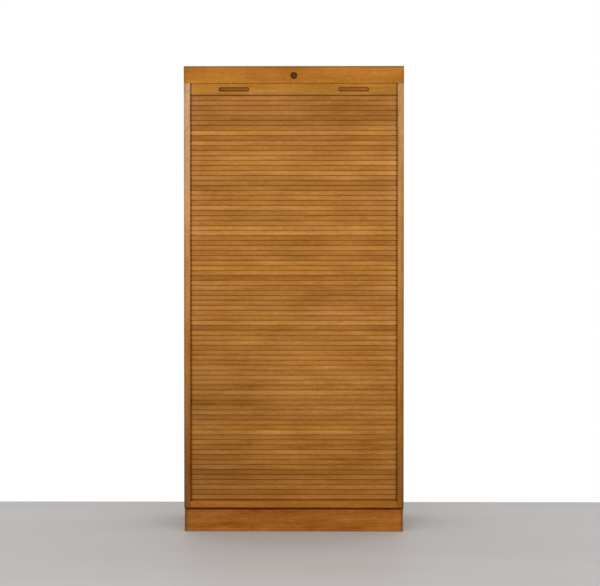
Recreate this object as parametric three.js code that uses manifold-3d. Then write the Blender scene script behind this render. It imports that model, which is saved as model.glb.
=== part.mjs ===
// Tambour door cabinet in oak. Its slatted curtain runs down the front, round a bend behind the
// bottom rail, under the floor board and up behind the inner back.
// Lengths are in millimetres. +X is to the right, +Y runs from the front to the back, +Z is up.
// The origin is on the floor, under the middle of the cabinet.

import * as THREE from 'three';
import { mergeVertices } from 'three/addons/utils/BufferGeometryUtils.js';
import Module from 'manifold-3d';

const wasm = await Module();
wasm.setup();

// Overall size
const width = 850;
const depth = 400;
const height = 1800;

// Boards of the carcass
const sideThickness = 24;
const topThickness = 22;
const floorThickness = 20;
const shelfThickness = 18;
const sheetThickness = 6;
const fasciaThickness = 22;
const fasciaHeight = 66.6;
const bottomRailHeight = 24.5;
const plinthHeight = 85;
const plinthThickness = 14;
const plinthInset = 2;
const shadowGap = 7;
const shadowDepth = 11;
const dustPanelThickness = 4;
const dustPanelLift = 4;
const housingDepth = 6;
const sheetGrooveDepth = 5;
const rearRebateWidth = 12;
const arris = 2;

// Gap in a glued or resting joint, the overrun of a cut past a face, and the weld of shared corners
const jointGap = 0.3;
const overrun = 2;
const weldTolerance = 0.0001;

// Curtain: slats on a canvas, with thinned ends that run in the grooves
const visibleSlats = 81;
const slatsPerBand = 5;
const bandCount = 17;
const curtainSetback = 8;
const slatThickness = 8.5;
const slatGap = 0.5;
const slatArris = 1.2;
const shoulderGap = 6;
const canvasThickness = 0.8;
const canvasMargin = 12;
const canvasBed = 0.2;
const tongueThickness = 4.5;
const tongueLift = 1;
const tongueReach = 8;
const tongueWidthShare = 0.92;
const grooveDepth = 9.5;
const grooveClearance = 0.6;
const bendRadius = 42;
const bendLift = 6.2;
const bendClearance = 1.3;
const tailSpare = 60;
const bendSteps = 16;

// Lead rail and its finger grips
const leadRailHeight = 45;
const leadRailThickness = 14;
const leadRailSetback = 4;
const leadRailTopGap = 0.7;
const leadRailArris = 0.6;
const gripLength = 120;
const gripHeight = 17;
const gripMouthDepth = 3;
const gripDepth = 8;
const gripUndercut = 1.4;
const gripCentre = 231.5;
const gripSteps = 16;

// Shelves, cleats and toothed racks
const shelfFrontGap = 2;
const rackWidth = 24;
const rackThickness = 12;
const rackInset = 15;
const rackPitch = 42;
const rackToothDepth = 10;
const rackFootHeight = 40;
const rackTopGap = 140;
const firstShelfTop = 336;
const shelfSpacing = 336;
const cleatHeight = 24;

// Lock, measured from the axis of its plug
const lockDrop = 36.4;
const escutcheonRadius = 13;
const escutcheonThickness = 2.4;
const escutcheonEdge = 0.9;
const dishRadius = 8;
const dishDepth = 1.2;
const plugHeadHalfWidth = 4.2;
const plugHeadHalfHeight = 6.8;
const plugHeadThickness = 1.6;
const plugRadius = 4.6;
const keyholeRadius = 1.5;
const keyholeSlotWidth = 1.4;
const keyholeSlotLength = 4.6;
const keyholeDepth = 7;
const spindleRadius = 2.6;
const turningClearance = 0.3;
const lockWebThickness = 8;
const caseHalfWidth = 42;
const caseRise = 27;
const caseWall = 1.5;
const caseFlange = 9;
const hubRadius = 7.5;
const boltInnerRadius = 33.5;
const boltOuterRadius = 37.5;
const boltThickness = 3;
const boltSetback = 12.5;
const boltTipAngle = 13;
const boltTailAngle = 38;
const boltArmAngle = 23;
const boltSteps = 12;
const boltSlotWidth = 4.2;
const selvedgeSlotStart = 8;
const selvedgeSlotEnd = 26;
const strikeThickness = 1.5;
const strikeWidth = 11;
const strikeStart = -30;
const strikeEnd = 42;
const strikeSlotStart = 6.5;
const strikeSlotEnd = 24;
const pocketStart = -14;
const pocketEnd = 26;
const pocketWidth = 6;
const pocketDepth = 8;

// Wood screws
const screwHeadRadius = 3;
const screwHeadDepth = 1.9;
const screwShankRadius = 1.4;
const screwLength = 13;
const screwTipLength = 3;
const screwSlotWidth = 0.8;
const screwSlotDepth = 0.8;
const screwHoleClearance = 0.25;
const screwInset = 4.5;
const roundSteps = 24;
const screwSteps = 12;

// Places that follow from the sizes
const front = -depth / 2;
const back = depth / 2;
const outerX = width / 2;
const innerX = outerX - sideThickness;
const carcassFoot = plinthHeight + shadowGap;
const bottomRailTop = carcassFoot + bottomRailHeight;
const floorTop = bottomRailTop;
const floorUnderside = floorTop - floorThickness;
const topUnderside = height - topThickness;
const fasciaBottom = height - fasciaHeight;
const fasciaBack = front + fasciaThickness;
const plinthFace = front + plinthInset;
const plinthBack = plinthFace + plinthThickness;
const leadRailTop = fasciaBottom - leadRailTopGap;
const leadRailBottom = leadRailTop - leadRailHeight;
const leadRailFace = front + leadRailSetback;
const leadRailBack = leadRailFace + leadRailThickness;
const slatFace = front + curtainSetback;
const canvasY = slatFace + slatThickness;
const curtainTop = leadRailBottom - jointGap;
const bendZ = bottomRailTop + bendLift;
const frontRun = curtainTop - bendZ;
const slatPitch = frontRun / visibleSlats;
const slatWidth = slatPitch - slatGap;
const tongueWidth = slatWidth * tongueWidthShare;
const shoulderX = innerX - shoulderGap;
const tongueEnd = innerX + tongueReach;
const bendY = canvasY + bendRadius;
const bottomRun = 2 * -bendY;
const quarterBend = bendRadius * Math.PI / 2;
const slatCount = slatsPerBand * bandCount;
const tailTop = bendZ + slatCount * slatPitch - 2 * quarterBend - bottomRun;
const grooveTop = tailTop + tailSpare;
const tongueOuter = tongueLift + tongueThickness;
const grooveOuter = Math.hypot(bendRadius + tongueOuter, tongueWidth / 2) - bendRadius + grooveClearance;
const grooveInner = tongueLift - grooveClearance;
const slatSweep = Math.hypot(bendRadius + slatThickness, slatWidth / 2 - slatArris);
const innerBackRear = -(bendY - Math.sqrt((bendRadius - canvasThickness - bendClearance) ** 2
  - (bendZ - floorUnderside) ** 2));
const innerBackFront = innerBackRear - sheetThickness;
const floorFront = -innerBackRear;
const shelfFront = floorFront + shelfFrontGap;
const firstLedge = floorTop + firstShelfTop - shelfThickness - cleatHeight - 2 * jointGap;
const teethPerShelf = Math.round(shelfSpacing / rackPitch);
const teethBelow = Math.floor((firstLedge - floorTop - rackFootHeight) / rackPitch);
const teethAbove = Math.floor((topUnderside - rackTopGap - firstLedge) / rackPitch);
const shelfCount = Math.floor((teethAbove - 1) / teethPerShelf) + 1;
const rearPanelFront = back - sheetThickness;
const dustPanelFront = plinthBack - sheetGrooveDepth;
const dustPanelRear = back - plinthThickness + sheetGrooveDepth;
const lockZ = height - lockDrop;

// Oak and metal finishes
const oak = (color) => new THREE.MeshStandardMaterial({ color, roughness: 0.5, metalness: 0, flatShading: true });
const metal = (color, roughness) => new THREE.MeshStandardMaterial(
  { color, roughness, metalness: 0.9, flatShading: true });
const finish = {
  fascia: oak(0xb1722b),
  leadRail: oak(0xb2772f),
  slat: oak(0xa66d30),
  stile: oak(0xa87238),
  rail: oak(0x985d21),
  plinth: oak(0x93571b),
  inside: oak(0xb98a4e),
  sheet: oak(0xb08450),
  rack: oak(0xa9783c),
  bronze: metal(0x2c1d10, 0.5),
  brass: metal(0x6b5c3a, 0.45),
  steel: metal(0x77726a, 0.4),
};

// A closed geometry becomes a solid for cutting and joining
function solid(geometry) {
  const bare = geometry.clone();
  bare.deleteAttribute('normal');
  bare.deleteAttribute('uv');
  const merged = mergeVertices(bare, weldTolerance);
  return new wasm.Manifold(new wasm.Mesh({
    numProp: 3,
    vertProperties: merged.attributes.position.array,
    triVerts: new Uint32Array(merged.index.array),
  }));
}

function cut(body, tools) {
  return tools.reduce((rest, tool) => rest.subtract(solid(tool)), body);
}

function join(body, pieces) {
  return pieces.reduce((whole, piece) => whole.add(solid(piece)), body);
}

const cabinet = new THREE.Group();

function place(name, body, material) {
  const mesh = body.getMesh();
  const geometry = new THREE.BufferGeometry();
  geometry.setAttribute('position', new THREE.BufferAttribute(new Float32Array(mesh.vertProperties), 3));
  geometry.setIndex(new THREE.BufferAttribute(new Uint32Array(mesh.triVerts), 1));
  geometry.computeVertexNormals();
  const piece = new THREE.Mesh(geometry, material);
  piece.name = name;
  cabinet.add(piece);
}

// Block between two corners, given axis by axis in either order
function block([x0, x1], [y0, y1], [z0, z1]) {
  const geometry = new THREE.BoxGeometry(Math.abs(x1 - x0), Math.abs(y1 - y0), Math.abs(z1 - z0));
  return geometry.translate((x0 + x1) / 2, (y0 + y1) / 2, (z0 + z1) / 2);
}

function shapeOf(outline) {
  return new THREE.Shape(outline.map(([a, b]) => new THREE.Vector2(a, b)));
}

// Extrusion of an outline in Y and Z, between two values of X
function prismX(outline, x0, x1) {
  const geometry = new THREE.ExtrudeGeometry(shapeOf(outline), { depth: Math.abs(x1 - x0), bevelEnabled: false });
  const turn = new THREE.Matrix4().makeBasis(
    new THREE.Vector3(0, 1, 0), new THREE.Vector3(0, 0, 1), new THREE.Vector3(1, 0, 0));
  return geometry.applyMatrix4(turn).translate(Math.min(x0, x1), 0, 0);
}

// Extrusion of an outline in X and Z, between two values of Y
function prismY(outline, y0, y1) {
  const geometry = new THREE.ExtrudeGeometry(shapeOf(outline), { depth: Math.abs(y1 - y0), bevelEnabled: false });
  const turn = new THREE.Matrix4().makeBasis(
    new THREE.Vector3(1, 0, 0), new THREE.Vector3(0, 0, 1), new THREE.Vector3(0, -1, 0));
  return geometry.applyMatrix4(turn).translate(0, Math.max(y0, y1), 0);
}

// Extrusion of an outline in X and Y, between two values of Z
function prismZ(outline, z0, z1) {
  const geometry = new THREE.ExtrudeGeometry(shapeOf(outline), { depth: Math.abs(z1 - z0), bevelEnabled: false });
  return geometry.translate(0, 0, Math.min(z0, z1));
}

// Points of an arc, from one angle to another in degrees
function arc([a, b], radius, from, to, steps) {
  return Array.from({ length: steps + 1 }, (_, i) => {
    const angle = THREE.MathUtils.degToRad(from + (to - from) * i / steps);
    return [a + radius * Math.cos(angle), b + radius * Math.sin(angle)];
  });
}

// Full turn of points, for a round or an oval outline
function ring([a, b], radiusA, radiusB, steps) {
  return Array.from({ length: steps }, (_, i) => {
    const angle = 2 * Math.PI * i / steps;
    return [a + radiusA * Math.cos(angle), b + radiusB * Math.sin(angle)];
  });
}

function rectangle([a0, a1], [b0, b1]) {
  return [[a0, b0], [a1, b0], [a1, b1], [a0, b1]];
}

// Rectangle with its four corners taken off at 45 degrees
function easedRectangle([a0, a1], [b0, b1], ease) {
  return [
    [a0 + ease, b0], [a1 - ease, b0], [a1, b0 + ease], [a1, b1 - ease],
    [a1 - ease, b1], [a0 + ease, b1], [a0, b1 - ease], [a0, b0 + ease],
  ];
}

// Revolve of a closed profile of radius and distance, about an axis that points along +Y
function turnedY(profile, steps, [x, y, z]) {
  const points = profile.map(([radius, along]) => new THREE.Vector2(radius, along));
  return new THREE.LatheGeometry(points, steps).translate(x, y, z);
}

// Revolve about an axis that points along -Z
function turnedDown(profile, steps, [x, y, z]) {
  const points = profile.map(([radius, along]) => new THREE.Vector2(radius, along));
  return new THREE.LatheGeometry(points, steps).rotateX(-Math.PI / 2).translate(x, y, z);
}

// Band that follows the curtain's path in Y and Z, between two distances outward from the canvas
function pathBand(outward0, outward1) {
  const side = (outward) => [
    [canvasY - outward, fasciaBottom + overrun],
    ...arc([bendY, bendZ], bendRadius + outward, 180, 270, bendSteps),
    ...arc([-bendY, bendZ], bendRadius + outward, 270, 360, bendSteps),
    [-canvasY + outward, grooveTop],
  ];
  return [...side(outward1), ...side(outward0).reverse()];
}

// Place on the curtain's path at a distance along the canvas: a point, the outward and the onward way
function pathPoint(distance) {
  const round = (distance - frontRun) / bendRadius;
  if (round <= 0) {
    return { at: [canvasY, curtainTop - distance], outward: [-1, 0], onward: [0, -1] };
  }
  if (round < Math.PI / 2) {
    const outward = [-Math.cos(round), -Math.sin(round)];
    return {
      at: [bendY + bendRadius * outward[0], bendZ + bendRadius * outward[1]],
      outward,
      onward: [-outward[1], outward[0]],
    };
  }
  return { at: [bendY + distance - frontRun - quarterBend, bendZ - bendRadius], outward: [0, -1], onward: [1, 0] };
}

// Points given along and outward from a slat's middle, turned into Y and Z
function onSlat(slat, points) {
  const { at, outward, onward } = pathPoint((slat + 0.5) * slatPitch);
  return points.map(([along, out]) => [
    at[0] + along * onward[0] + out * outward[0],
    at[1] + along * onward[1] + out * outward[1],
  ]);
}

// Side panel: the full height, with the curtain's groove, housings and the plinth's line cut into it
function sidePanel(name, side) {
  const outline = [
    [plinthBack + jointGap, 0],
    [plinthBack + jointGap, carcassFoot],
    [front, carcassFoot],
    [front, fasciaBottom - jointGap],
    [fasciaBack + jointGap, fasciaBottom - jointGap],
    [fasciaBack + jointGap, topUnderside - jointGap],
    [back, topUnderside - jointGap],
    [back, 0],
  ];
  const groove = prismX(pathBand(grooveInner, grooveOuter), side * (innerX - overrun), side * (innerX + grooveDepth));
  const housing = block([side * (innerX - overrun), side * (innerX + housingDepth + jointGap)],
    [floorFront - jointGap, innerBackRear + jointGap], [floorUnderside - jointGap, floorTop + jointGap]);
  const sheetGroove = block([side * (innerX - overrun), side * (innerX + sheetGrooveDepth + jointGap)],
    [innerBackFront - jointGap, innerBackRear + jointGap], [floorTop, height]);
  const rebate = block([side * (innerX - overrun), side * (innerX + rearRebateWidth)],
    [rearPanelFront - jointGap, back + overrun], [carcassFoot, height]);
  const dustGroove = block([side * (innerX - overrun), side * (innerX + sheetGrooveDepth + jointGap)],
    [dustPanelFront, dustPanelRear + jointGap],
    [dustPanelLift - jointGap, dustPanelLift + dustPanelThickness + jointGap]);
  const inset = block([side * (outerX - plinthInset), side * (outerX + overrun)],
    [front - overrun, back + overrun], [-overrun, plinthHeight]);
  const panel = solid(prismX(outline, side * innerX, side * outerX));
  place(name, cut(panel, [groove, housing, sheetGroove, rebate, dustGroove, inset]), finish.stile);
}

function topBoard() {
  const outline = easedRectangle([-outerX, outerX], [topUnderside, height], arris);
  place('top_board', solid(prismY(outline, fasciaBack + jointGap, back)), finish.fascia);
}

// Fascia, let in at its back for the lock case and bored for the plug
function fascia() {
  const outline = [
    [fasciaBack, fasciaBottom], [fasciaBack, height], [front + arris, height],
    ...arc([front + arris, height - arris], arris, 90, 180, 3).slice(1),
    [front, fasciaBottom],
  ];
  const pocketX = caseHalfWidth + jointGap;
  const pocket = block([-pocketX, pocketX], [front + lockWebThickness, fasciaBack + overrun],
    [fasciaBottom - overrun, lockZ + caseRise + jointGap]);
  const flangeX = pocketX + caseFlange;
  const flange = block([-flangeX, flangeX], [fasciaBack - caseWall - jointGap, fasciaBack + overrun],
    [fasciaBottom - overrun, lockZ + caseRise + jointGap]);
  const bore = prismY(ring([0, lockZ], plugRadius + turningClearance, plugRadius + turningClearance, roundSteps),
    front - overrun, front + lockWebThickness + overrun);
  const holes = caseScrewPlaces().map(([x, z]) => screwHoleY(x, z));
  const board = solid(prismX(outline, -outerX, outerX));
  place('fascia', cut(board, [pocket, flange, bore, ...holes]), finish.fascia);
}

// Bottom rail, coved at its back to follow the curtain round the bend
function bottomRail() {
  const cove = slatSweep + bendClearance;
  const angleAt = (z) => 180 + THREE.MathUtils.radToDeg(Math.asin((bendZ - z) / cove));
  const outline = [
    [front, carcassFoot], [front, bottomRailTop - arris], [front + arris, bottomRailTop],
    ...arc([bendY, bendZ], cove, angleAt(bottomRailTop), angleAt(carcassFoot), bendSteps),
  ];
  const endX = innerX - jointGap;
  place('bottom_rail', solid(prismX(outline, -endX, endX)), finish.rail);
}

function floorBoard() {
  const endX = innerX + housingDepth;
  const outline = [
    [floorFront + arris, floorUnderside], [innerBackRear, floorUnderside], [innerBackRear, floorTop],
    [floorFront + arris, floorTop], [floorFront, floorTop - arris], [floorFront, floorUnderside + arris],
  ];
  place('floor_board', solid(prismX(outline, -endX, endX)), finish.inside);
}

// Front plinth board: full width, with a set-back lip that closes the shadow gap over it
function plinthFront() {
  const endX = outerX - plinthInset;
  const board = easedRectangle([plinthFace, plinthBack], [0, plinthHeight], arris);
  const lip = block([-endX, endX], [front + shadowDepth, plinthBack],
    [plinthHeight - shadowDepth, carcassFoot - jointGap]);
  const groove = block([-innerX - sheetGrooveDepth, innerX + sheetGrooveDepth],
    [dustPanelFront - jointGap, plinthBack + overrun],
    [dustPanelLift - jointGap, dustPanelLift + dustPanelThickness + jointGap]);
  place('plinth_front', cut(join(solid(prismX(board, -endX, endX)), [lip]), [groove]), finish.plinth);
}

function plinthRear() {
  const endX = innerX - jointGap;
  const outline = [
    [back - plinthThickness, 0], [back, 0], [back, carcassFoot - jointGap],
    [back - plinthThickness, carcassFoot - jointGap],
  ];
  const groove = block([-outerX, outerX],
    [back - plinthThickness - overrun, dustPanelRear + jointGap],
    [dustPanelLift - jointGap, dustPanelLift + dustPanelThickness + jointGap]);
  place('plinth_rear', cut(solid(prismX(outline, -endX, endX)), [groove]), finish.plinth);
}

function dustPanel() {
  const endX = innerX + sheetGrooveDepth;
  place('dust_panel', solid(block([-endX, endX], [dustPanelFront, dustPanelRear],
    [dustPanelLift, dustPanelLift + dustPanelThickness])), finish.sheet);
}

function backPanels() {
  const rearX = innerX + rearRebateWidth - jointGap;
  place('back_panel', solid(block([-rearX, rearX], [rearPanelFront, back],
    [carcassFoot + jointGap, topUnderside - jointGap])), finish.sheet);
  const innerPanelX = innerX + sheetGrooveDepth;
  place('inner_back', solid(block([-innerPanelX, innerPanelX], [innerBackFront, innerBackRear],
    [floorTop + jointGap, topUnderside - jointGap])), finish.sheet);
}

// Lead rail: proud of the slats, with tongued ends, two undercut grips and the hook bolt's pocket
function leadRail() {
  const body = easedRectangle([leadRailFace, leadRailBack], [leadRailBottom, leadRailTop], leadRailArris);
  const tongues = block([-tongueEnd, tongueEnd], [canvasY - tongueOuter, canvasY - tongueLift],
    [leadRailBottom + leadRailArris, leadRailTop - leadRailArris]);
  const middle = (leadRailBottom + leadRailTop) / 2;
  const slot = (centre, grow) => {
    const radius = gripHeight / 2 + grow;
    const reach = gripLength / 2 - gripHeight / 2;
    return [
      ...arc([centre + reach, middle], radius, -90, 90, gripSteps),
      ...arc([centre - reach, middle], radius, 90, 270, gripSteps),
    ];
  };
  const grips = [-gripCentre, gripCentre].flatMap((centre) => [
    prismY(slot(centre, 0), leadRailFace - overrun, leadRailFace + gripMouthDepth + overrun),
    prismY(slot(centre, gripUndercut), leadRailFace + gripMouthDepth, leadRailFace + gripDepth),
  ]);
  const boltY = front + boltSetback;
  const pocket = block([pocketStart, pocketEnd], [boltY - pocketWidth / 2, boltY + pocketWidth / 2],
    [leadRailTop - pocketDepth, leadRailTop + overrun]);
  const recess = block([strikeStart - jointGap, strikeEnd + jointGap],
    [boltY - strikeWidth / 2 - jointGap, boltY + strikeWidth / 2 + jointGap],
    [leadRailTop - strikeThickness - jointGap, leadRailTop + overrun]);
  const holes = strikeScrewPlaces().map((x) => screwHoleDown(x, boltY, leadRailTop));
  const rail = join(solid(prismX(body, -shoulderX, shoulderX)), [tongues]);
  place('lead_rail', cut(rail, [...grips, pocket, recess, ...holes]), finish.leadRail);
}

// One band of the curtain: its slats joined by their canvas, with a tongue at each slat's ends
function curtainBand(band) {
  const half = slatWidth / 2;
  const slats = Array.from({ length: slatsPerBand }, (_, i) => band * slatsPerBand + i);
  const line = (outward) => slats.flatMap((slat) => onSlat(slat, [[-half, outward], [half, outward]]));
  const canvasX = shoulderX - canvasMargin;
  const canvas = prismX([...line(canvasBed), ...line(-canvasThickness).reverse()], -canvasX, canvasX);
  const faces = slats.map((slat) => prismX(onSlat(slat, [
    [-half, 0], [-half, slatThickness - slatArris], [-half + slatArris, slatThickness],
    [half - slatArris, slatThickness], [half, slatThickness - slatArris], [half, 0],
  ]), -shoulderX, shoulderX));
  const tongues = slats.flatMap((slat) => [-1, 1].map((side) => prismX(
    onSlat(slat, rectangle([-tongueWidth / 2, tongueWidth / 2], [tongueLift, tongueOuter])),
    side * (shoulderX - overrun), side * tongueEnd)));
  const number = String(band + 1).padStart(2, '0');
  place(`curtain_band_${number}`, join(solid(canvas), [...faces, ...tongues]), finish.slat);
}

// Toothed rack, whose ledges face the other rack of its pair
function rackEdges(atFront) {
  const edge = atFront ? shelfFront + rackInset + rackWidth : innerBackFront - rackInset - rackWidth;
  const inward = atFront ? 1 : -1;
  return { edge, outer: edge - inward * rackWidth, root: edge - inward * rackToothDepth, inward };
}

function ledgeZ(tooth) {
  return firstLedge + tooth * rackPitch;
}

function rack(name, side, atFront) {
  const { edge, outer, root } = rackEdges(atFront);
  const teeth = [];
  for (let tooth = -teethBelow; tooth < teethAbove; tooth += 1) {
    teeth.push([edge, ledgeZ(tooth)], [root, ledgeZ(tooth)]);
  }
  const outline = [
    [outer, floorTop + jointGap], [edge, floorTop + jointGap], ...teeth,
    [edge, ledgeZ(teethAbove)], [outer, ledgeZ(teethAbove)],
  ];
  const wall = innerX - jointGap;
  place(name, solid(prismX(outline, side * (wall - rackThickness), side * wall)), finish.rack);
}

// Cleat that lies on two ledges, with its ends bevelled to the slope of the teeth
function cleat(name, side, shelf) {
  const ledge = ledgeZ(shelf * teethPerShelf) + jointGap;
  const slope = rackToothDepth * cleatHeight / rackPitch;
  const start = rackEdges(true).root + jointGap;
  const end = rackEdges(false).root - jointGap;
  const outline = [
    [start, ledge], [end, ledge], [end - slope, ledge + cleatHeight], [start + slope, ledge + cleatHeight],
  ];
  const wall = innerX - jointGap;
  place(name, solid(prismX(outline, side * (wall - rackThickness), side * wall)), finish.rack);
}

// Shelf, notched round the four racks
function shelfBoard(shelf) {
  const top = floorTop + firstShelfTop + shelf * teethPerShelf * rackPitch;
  const endX = innerX - 2 * jointGap;
  const outline = rectangle([-endX, endX], [shelfFront, innerBackFront - jointGap]);
  const notches = [-1, 1].flatMap((side) => [true, false].map((atFront) => {
    const { edge, outer } = rackEdges(atFront);
    const low = Math.min(edge, outer) - overrun;
    const high = Math.max(edge, outer) + overrun;
    return block([side * (innerX - rackThickness - overrun), side * outerX], [low, high],
      [top - shelfThickness - overrun, top + overrun]);
  }));
  const board = solid(prismZ(outline, top - shelfThickness, top));
  place(`shelf_${shelf + 1}`, cut(board, notches), finish.inside);
}

// Screws and the holes that clear them
const screwProfile = (grow) => [
  [0, 0],
  [screwHeadRadius + grow, 0],
  [screwShankRadius + grow, screwHeadDepth + grow],
  [screwShankRadius + grow, screwLength - screwTipLength + grow],
  [0, screwLength + grow],
  [0, 0],
];

function caseScrewPlaces() {
  const x = caseHalfWidth + caseFlange - screwInset;
  const low = fasciaBottom + 2 * screwInset;
  const high = lockZ + caseRise - 2 * screwInset;
  return [[-x, low], [x, low], [-x, high], [x, high]];
}

function strikeScrewPlaces() {
  return [strikeStart + screwInset + screwHeadRadius, strikeEnd - screwInset - screwHeadRadius];
}

function screwHoleY(x, z) {
  return turnedY(screwProfile(screwHoleClearance).map(([radius, along]) => [radius, -along]).reverse(),
    screwSteps, [x, fasciaBack, z]);
}

function screwHoleDown(x, y, z) {
  return turnedDown(screwProfile(screwHoleClearance), screwSteps, [x, y, z]);
}

function caseScrews() {
  caseScrewPlaces().forEach(([x, z], i) => {
    const profile = screwProfile(0).map(([radius, along]) => [radius, -along]).reverse();
    const slot = block([x - screwHeadRadius - overrun, x + screwHeadRadius + overrun],
      [fasciaBack - screwSlotDepth, fasciaBack + overrun], [z - screwSlotWidth / 2, z + screwSlotWidth / 2]);
    place(`lock_case_screw_${i + 1}`,
      cut(solid(turnedY(profile, screwSteps, [x, fasciaBack, z])), [slot]), finish.steel);
  });
}

function strikeScrews() {
  const y = front + boltSetback;
  strikeScrewPlaces().forEach((x, i) => {
    const slot = block([x - screwHeadRadius - overrun, x + screwHeadRadius + overrun],
      [y - screwSlotWidth / 2, y + screwSlotWidth / 2], [leadRailTop - screwSlotDepth, leadRailTop + overrun]);
    place(`strike_screw_${i + 1}`,
      cut(solid(turnedDown(screwProfile(0), screwSteps, [x, y, leadRailTop])), [slot]), finish.steel);
  });
}

// Escutcheon: a turned ring with a rounded rim and a dished middle round the plug
function escutcheon() {
  const bore = plugRadius + turningClearance;
  const rim = escutcheonThickness;
  const profile = [
    [bore, 0],
    [escutcheonRadius, 0],
    ...arc([escutcheonRadius - escutcheonEdge, -(rim - escutcheonEdge)], escutcheonEdge, 0, -90, 3),
    [dishRadius, -rim],
    [dishRadius - dishDepth / 2, -(rim - dishDepth)],
    [bore, -(rim - dishDepth)],
    [bore, 0],
  ];
  place('escutcheon', solid(turnedY(profile.reverse(), roundSteps, [0, front - jointGap, lockZ])), finish.bronze);
}

// Plug: an oval head with the keyhole, a round body in the fascia and a square end in the hook bolt
function lockPlug() {
  const seat = front - jointGap - escutcheonThickness + dishDepth - jointGap;
  const boltBack = front + boltSetback + boltThickness / 2;
  const boltFront = boltBack - boltThickness;
  const head = prismY(ring([0, lockZ], plugHeadHalfWidth, plugHeadHalfHeight, roundSteps),
    seat - plugHeadThickness, seat);
  const body = prismY(ring([0, lockZ], plugRadius, plugRadius, roundSteps), seat - overrun / 2,
    boltFront - jointGap);
  const spindle = block([-spindleRadius, spindleRadius], [boltFront - overrun, boltBack],
    [lockZ - spindleRadius, lockZ + spindleRadius]);
  const keyTop = prismY(ring([0, lockZ + keyholeRadius], keyholeRadius, keyholeRadius, screwSteps),
    seat - plugHeadThickness - overrun, seat + keyholeDepth);
  const keySlot = block([-keyholeSlotWidth / 2, keyholeSlotWidth / 2],
    [seat - plugHeadThickness - overrun, seat + keyholeDepth],
    [lockZ + keyholeRadius - keyholeSlotLength, lockZ + keyholeRadius]);
  place('lock_plug', cut(join(solid(body), [head, spindle]), [keyTop, keySlot]), finish.brass);
}

// Hook bolt: a finger on a circle about the plug, carried by an arm from its hub
function hookBolt() {
  const centre = [0, lockZ];
  const outline = [
    ...arc(centre, boltOuterRadius, -boltTipAngle, boltTailAngle, boltSteps),
    ...arc(centre, hubRadius, boltTailAngle, 360 + boltArmAngle, roundSteps),
    ...arc(centre, boltInnerRadius, boltArmAngle, -boltTipAngle, boltSteps),
  ];
  const y = front + boltSetback;
  const side = spindleRadius + jointGap;
  const hole = block([-side, side], [y - boltThickness, y + boltThickness], [lockZ - side, lockZ + side]);
  place('hook_bolt', cut(solid(prismY(outline, y - boltThickness / 2, y + boltThickness / 2)), [hole]),
    finish.steel);
}

// Lock case: a tray let into the fascia, with a flanged plate behind and a slotted selvedge below
function lockCase() {
  const low = fasciaBottom;
  const high = lockZ + caseRise;
  const trayFront = front + lockWebThickness + jointGap;
  const plateFront = fasciaBack - caseWall;
  const tray = block([-caseHalfWidth, caseHalfWidth], [trayFront, fasciaBack], [low, high]);
  const hollow = block([-caseHalfWidth + caseWall, caseHalfWidth - caseWall], [trayFront - overrun, plateFront],
    [low + caseWall, high - caseWall]);
  const plateX = caseHalfWidth + caseFlange;
  const plate = block([-plateX, plateX], [plateFront, fasciaBack], [low, high]);
  const y = front + boltSetback;
  const slot = block([selvedgeSlotStart, selvedgeSlotEnd], [y - boltSlotWidth / 2, y + boltSlotWidth / 2],
    [low - overrun, low + caseWall + overrun]);
  const holes = caseScrewPlaces().map(([x, z]) => screwHoleY(x, z));
  place('lock_case', cut(join(solid(tray), [plate]), [hollow, slot, ...holes]), finish.steel);
}

function strikePlate() {
  const y = front + boltSetback;
  const outline = easedRectangle([strikeStart, strikeEnd], [y - strikeWidth / 2, y + strikeWidth / 2], arris);
  const slot = block([strikeSlotStart, strikeSlotEnd], [y - boltSlotWidth / 2, y + boltSlotWidth / 2],
    [leadRailTop - strikeThickness - overrun, leadRailTop + overrun]);
  const holes = strikeScrewPlaces().map((x) => screwHoleDown(x, y, leadRailTop));
  place('strike_plate', cut(solid(prismZ(outline, leadRailTop - strikeThickness, leadRailTop)), [slot, ...holes]),
    finish.brass);
}

sidePanel('side_panel_left', -1);
sidePanel('side_panel_right', 1);
topBoard();
fascia();
bottomRail();
floorBoard();
plinthFront();
plinthRear();
dustPanel();
backPanels();
leadRail();
for (let band = 0; band < bandCount; band += 1) {
  curtainBand(band);
}
rack('rack_front_left', -1, true);
rack('rack_rear_left', -1, false);
rack('rack_front_right', 1, true);
rack('rack_rear_right', 1, false);
for (let shelf = 0; shelf < shelfCount; shelf += 1) {
  cleat(`cleat_left_${shelf + 1}`, -1, shelf);
  cleat(`cleat_right_${shelf + 1}`, 1, shelf);
  shelfBoard(shelf);
}
escutcheon();
lockPlug();
hookBolt();
lockCase();
caseScrews();
strikePlate();
strikeScrews();

export default cabinet;
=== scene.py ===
"""Looks of the tambour door cabinet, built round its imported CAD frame. Lengths are in metres."""

import math
import random

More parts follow.
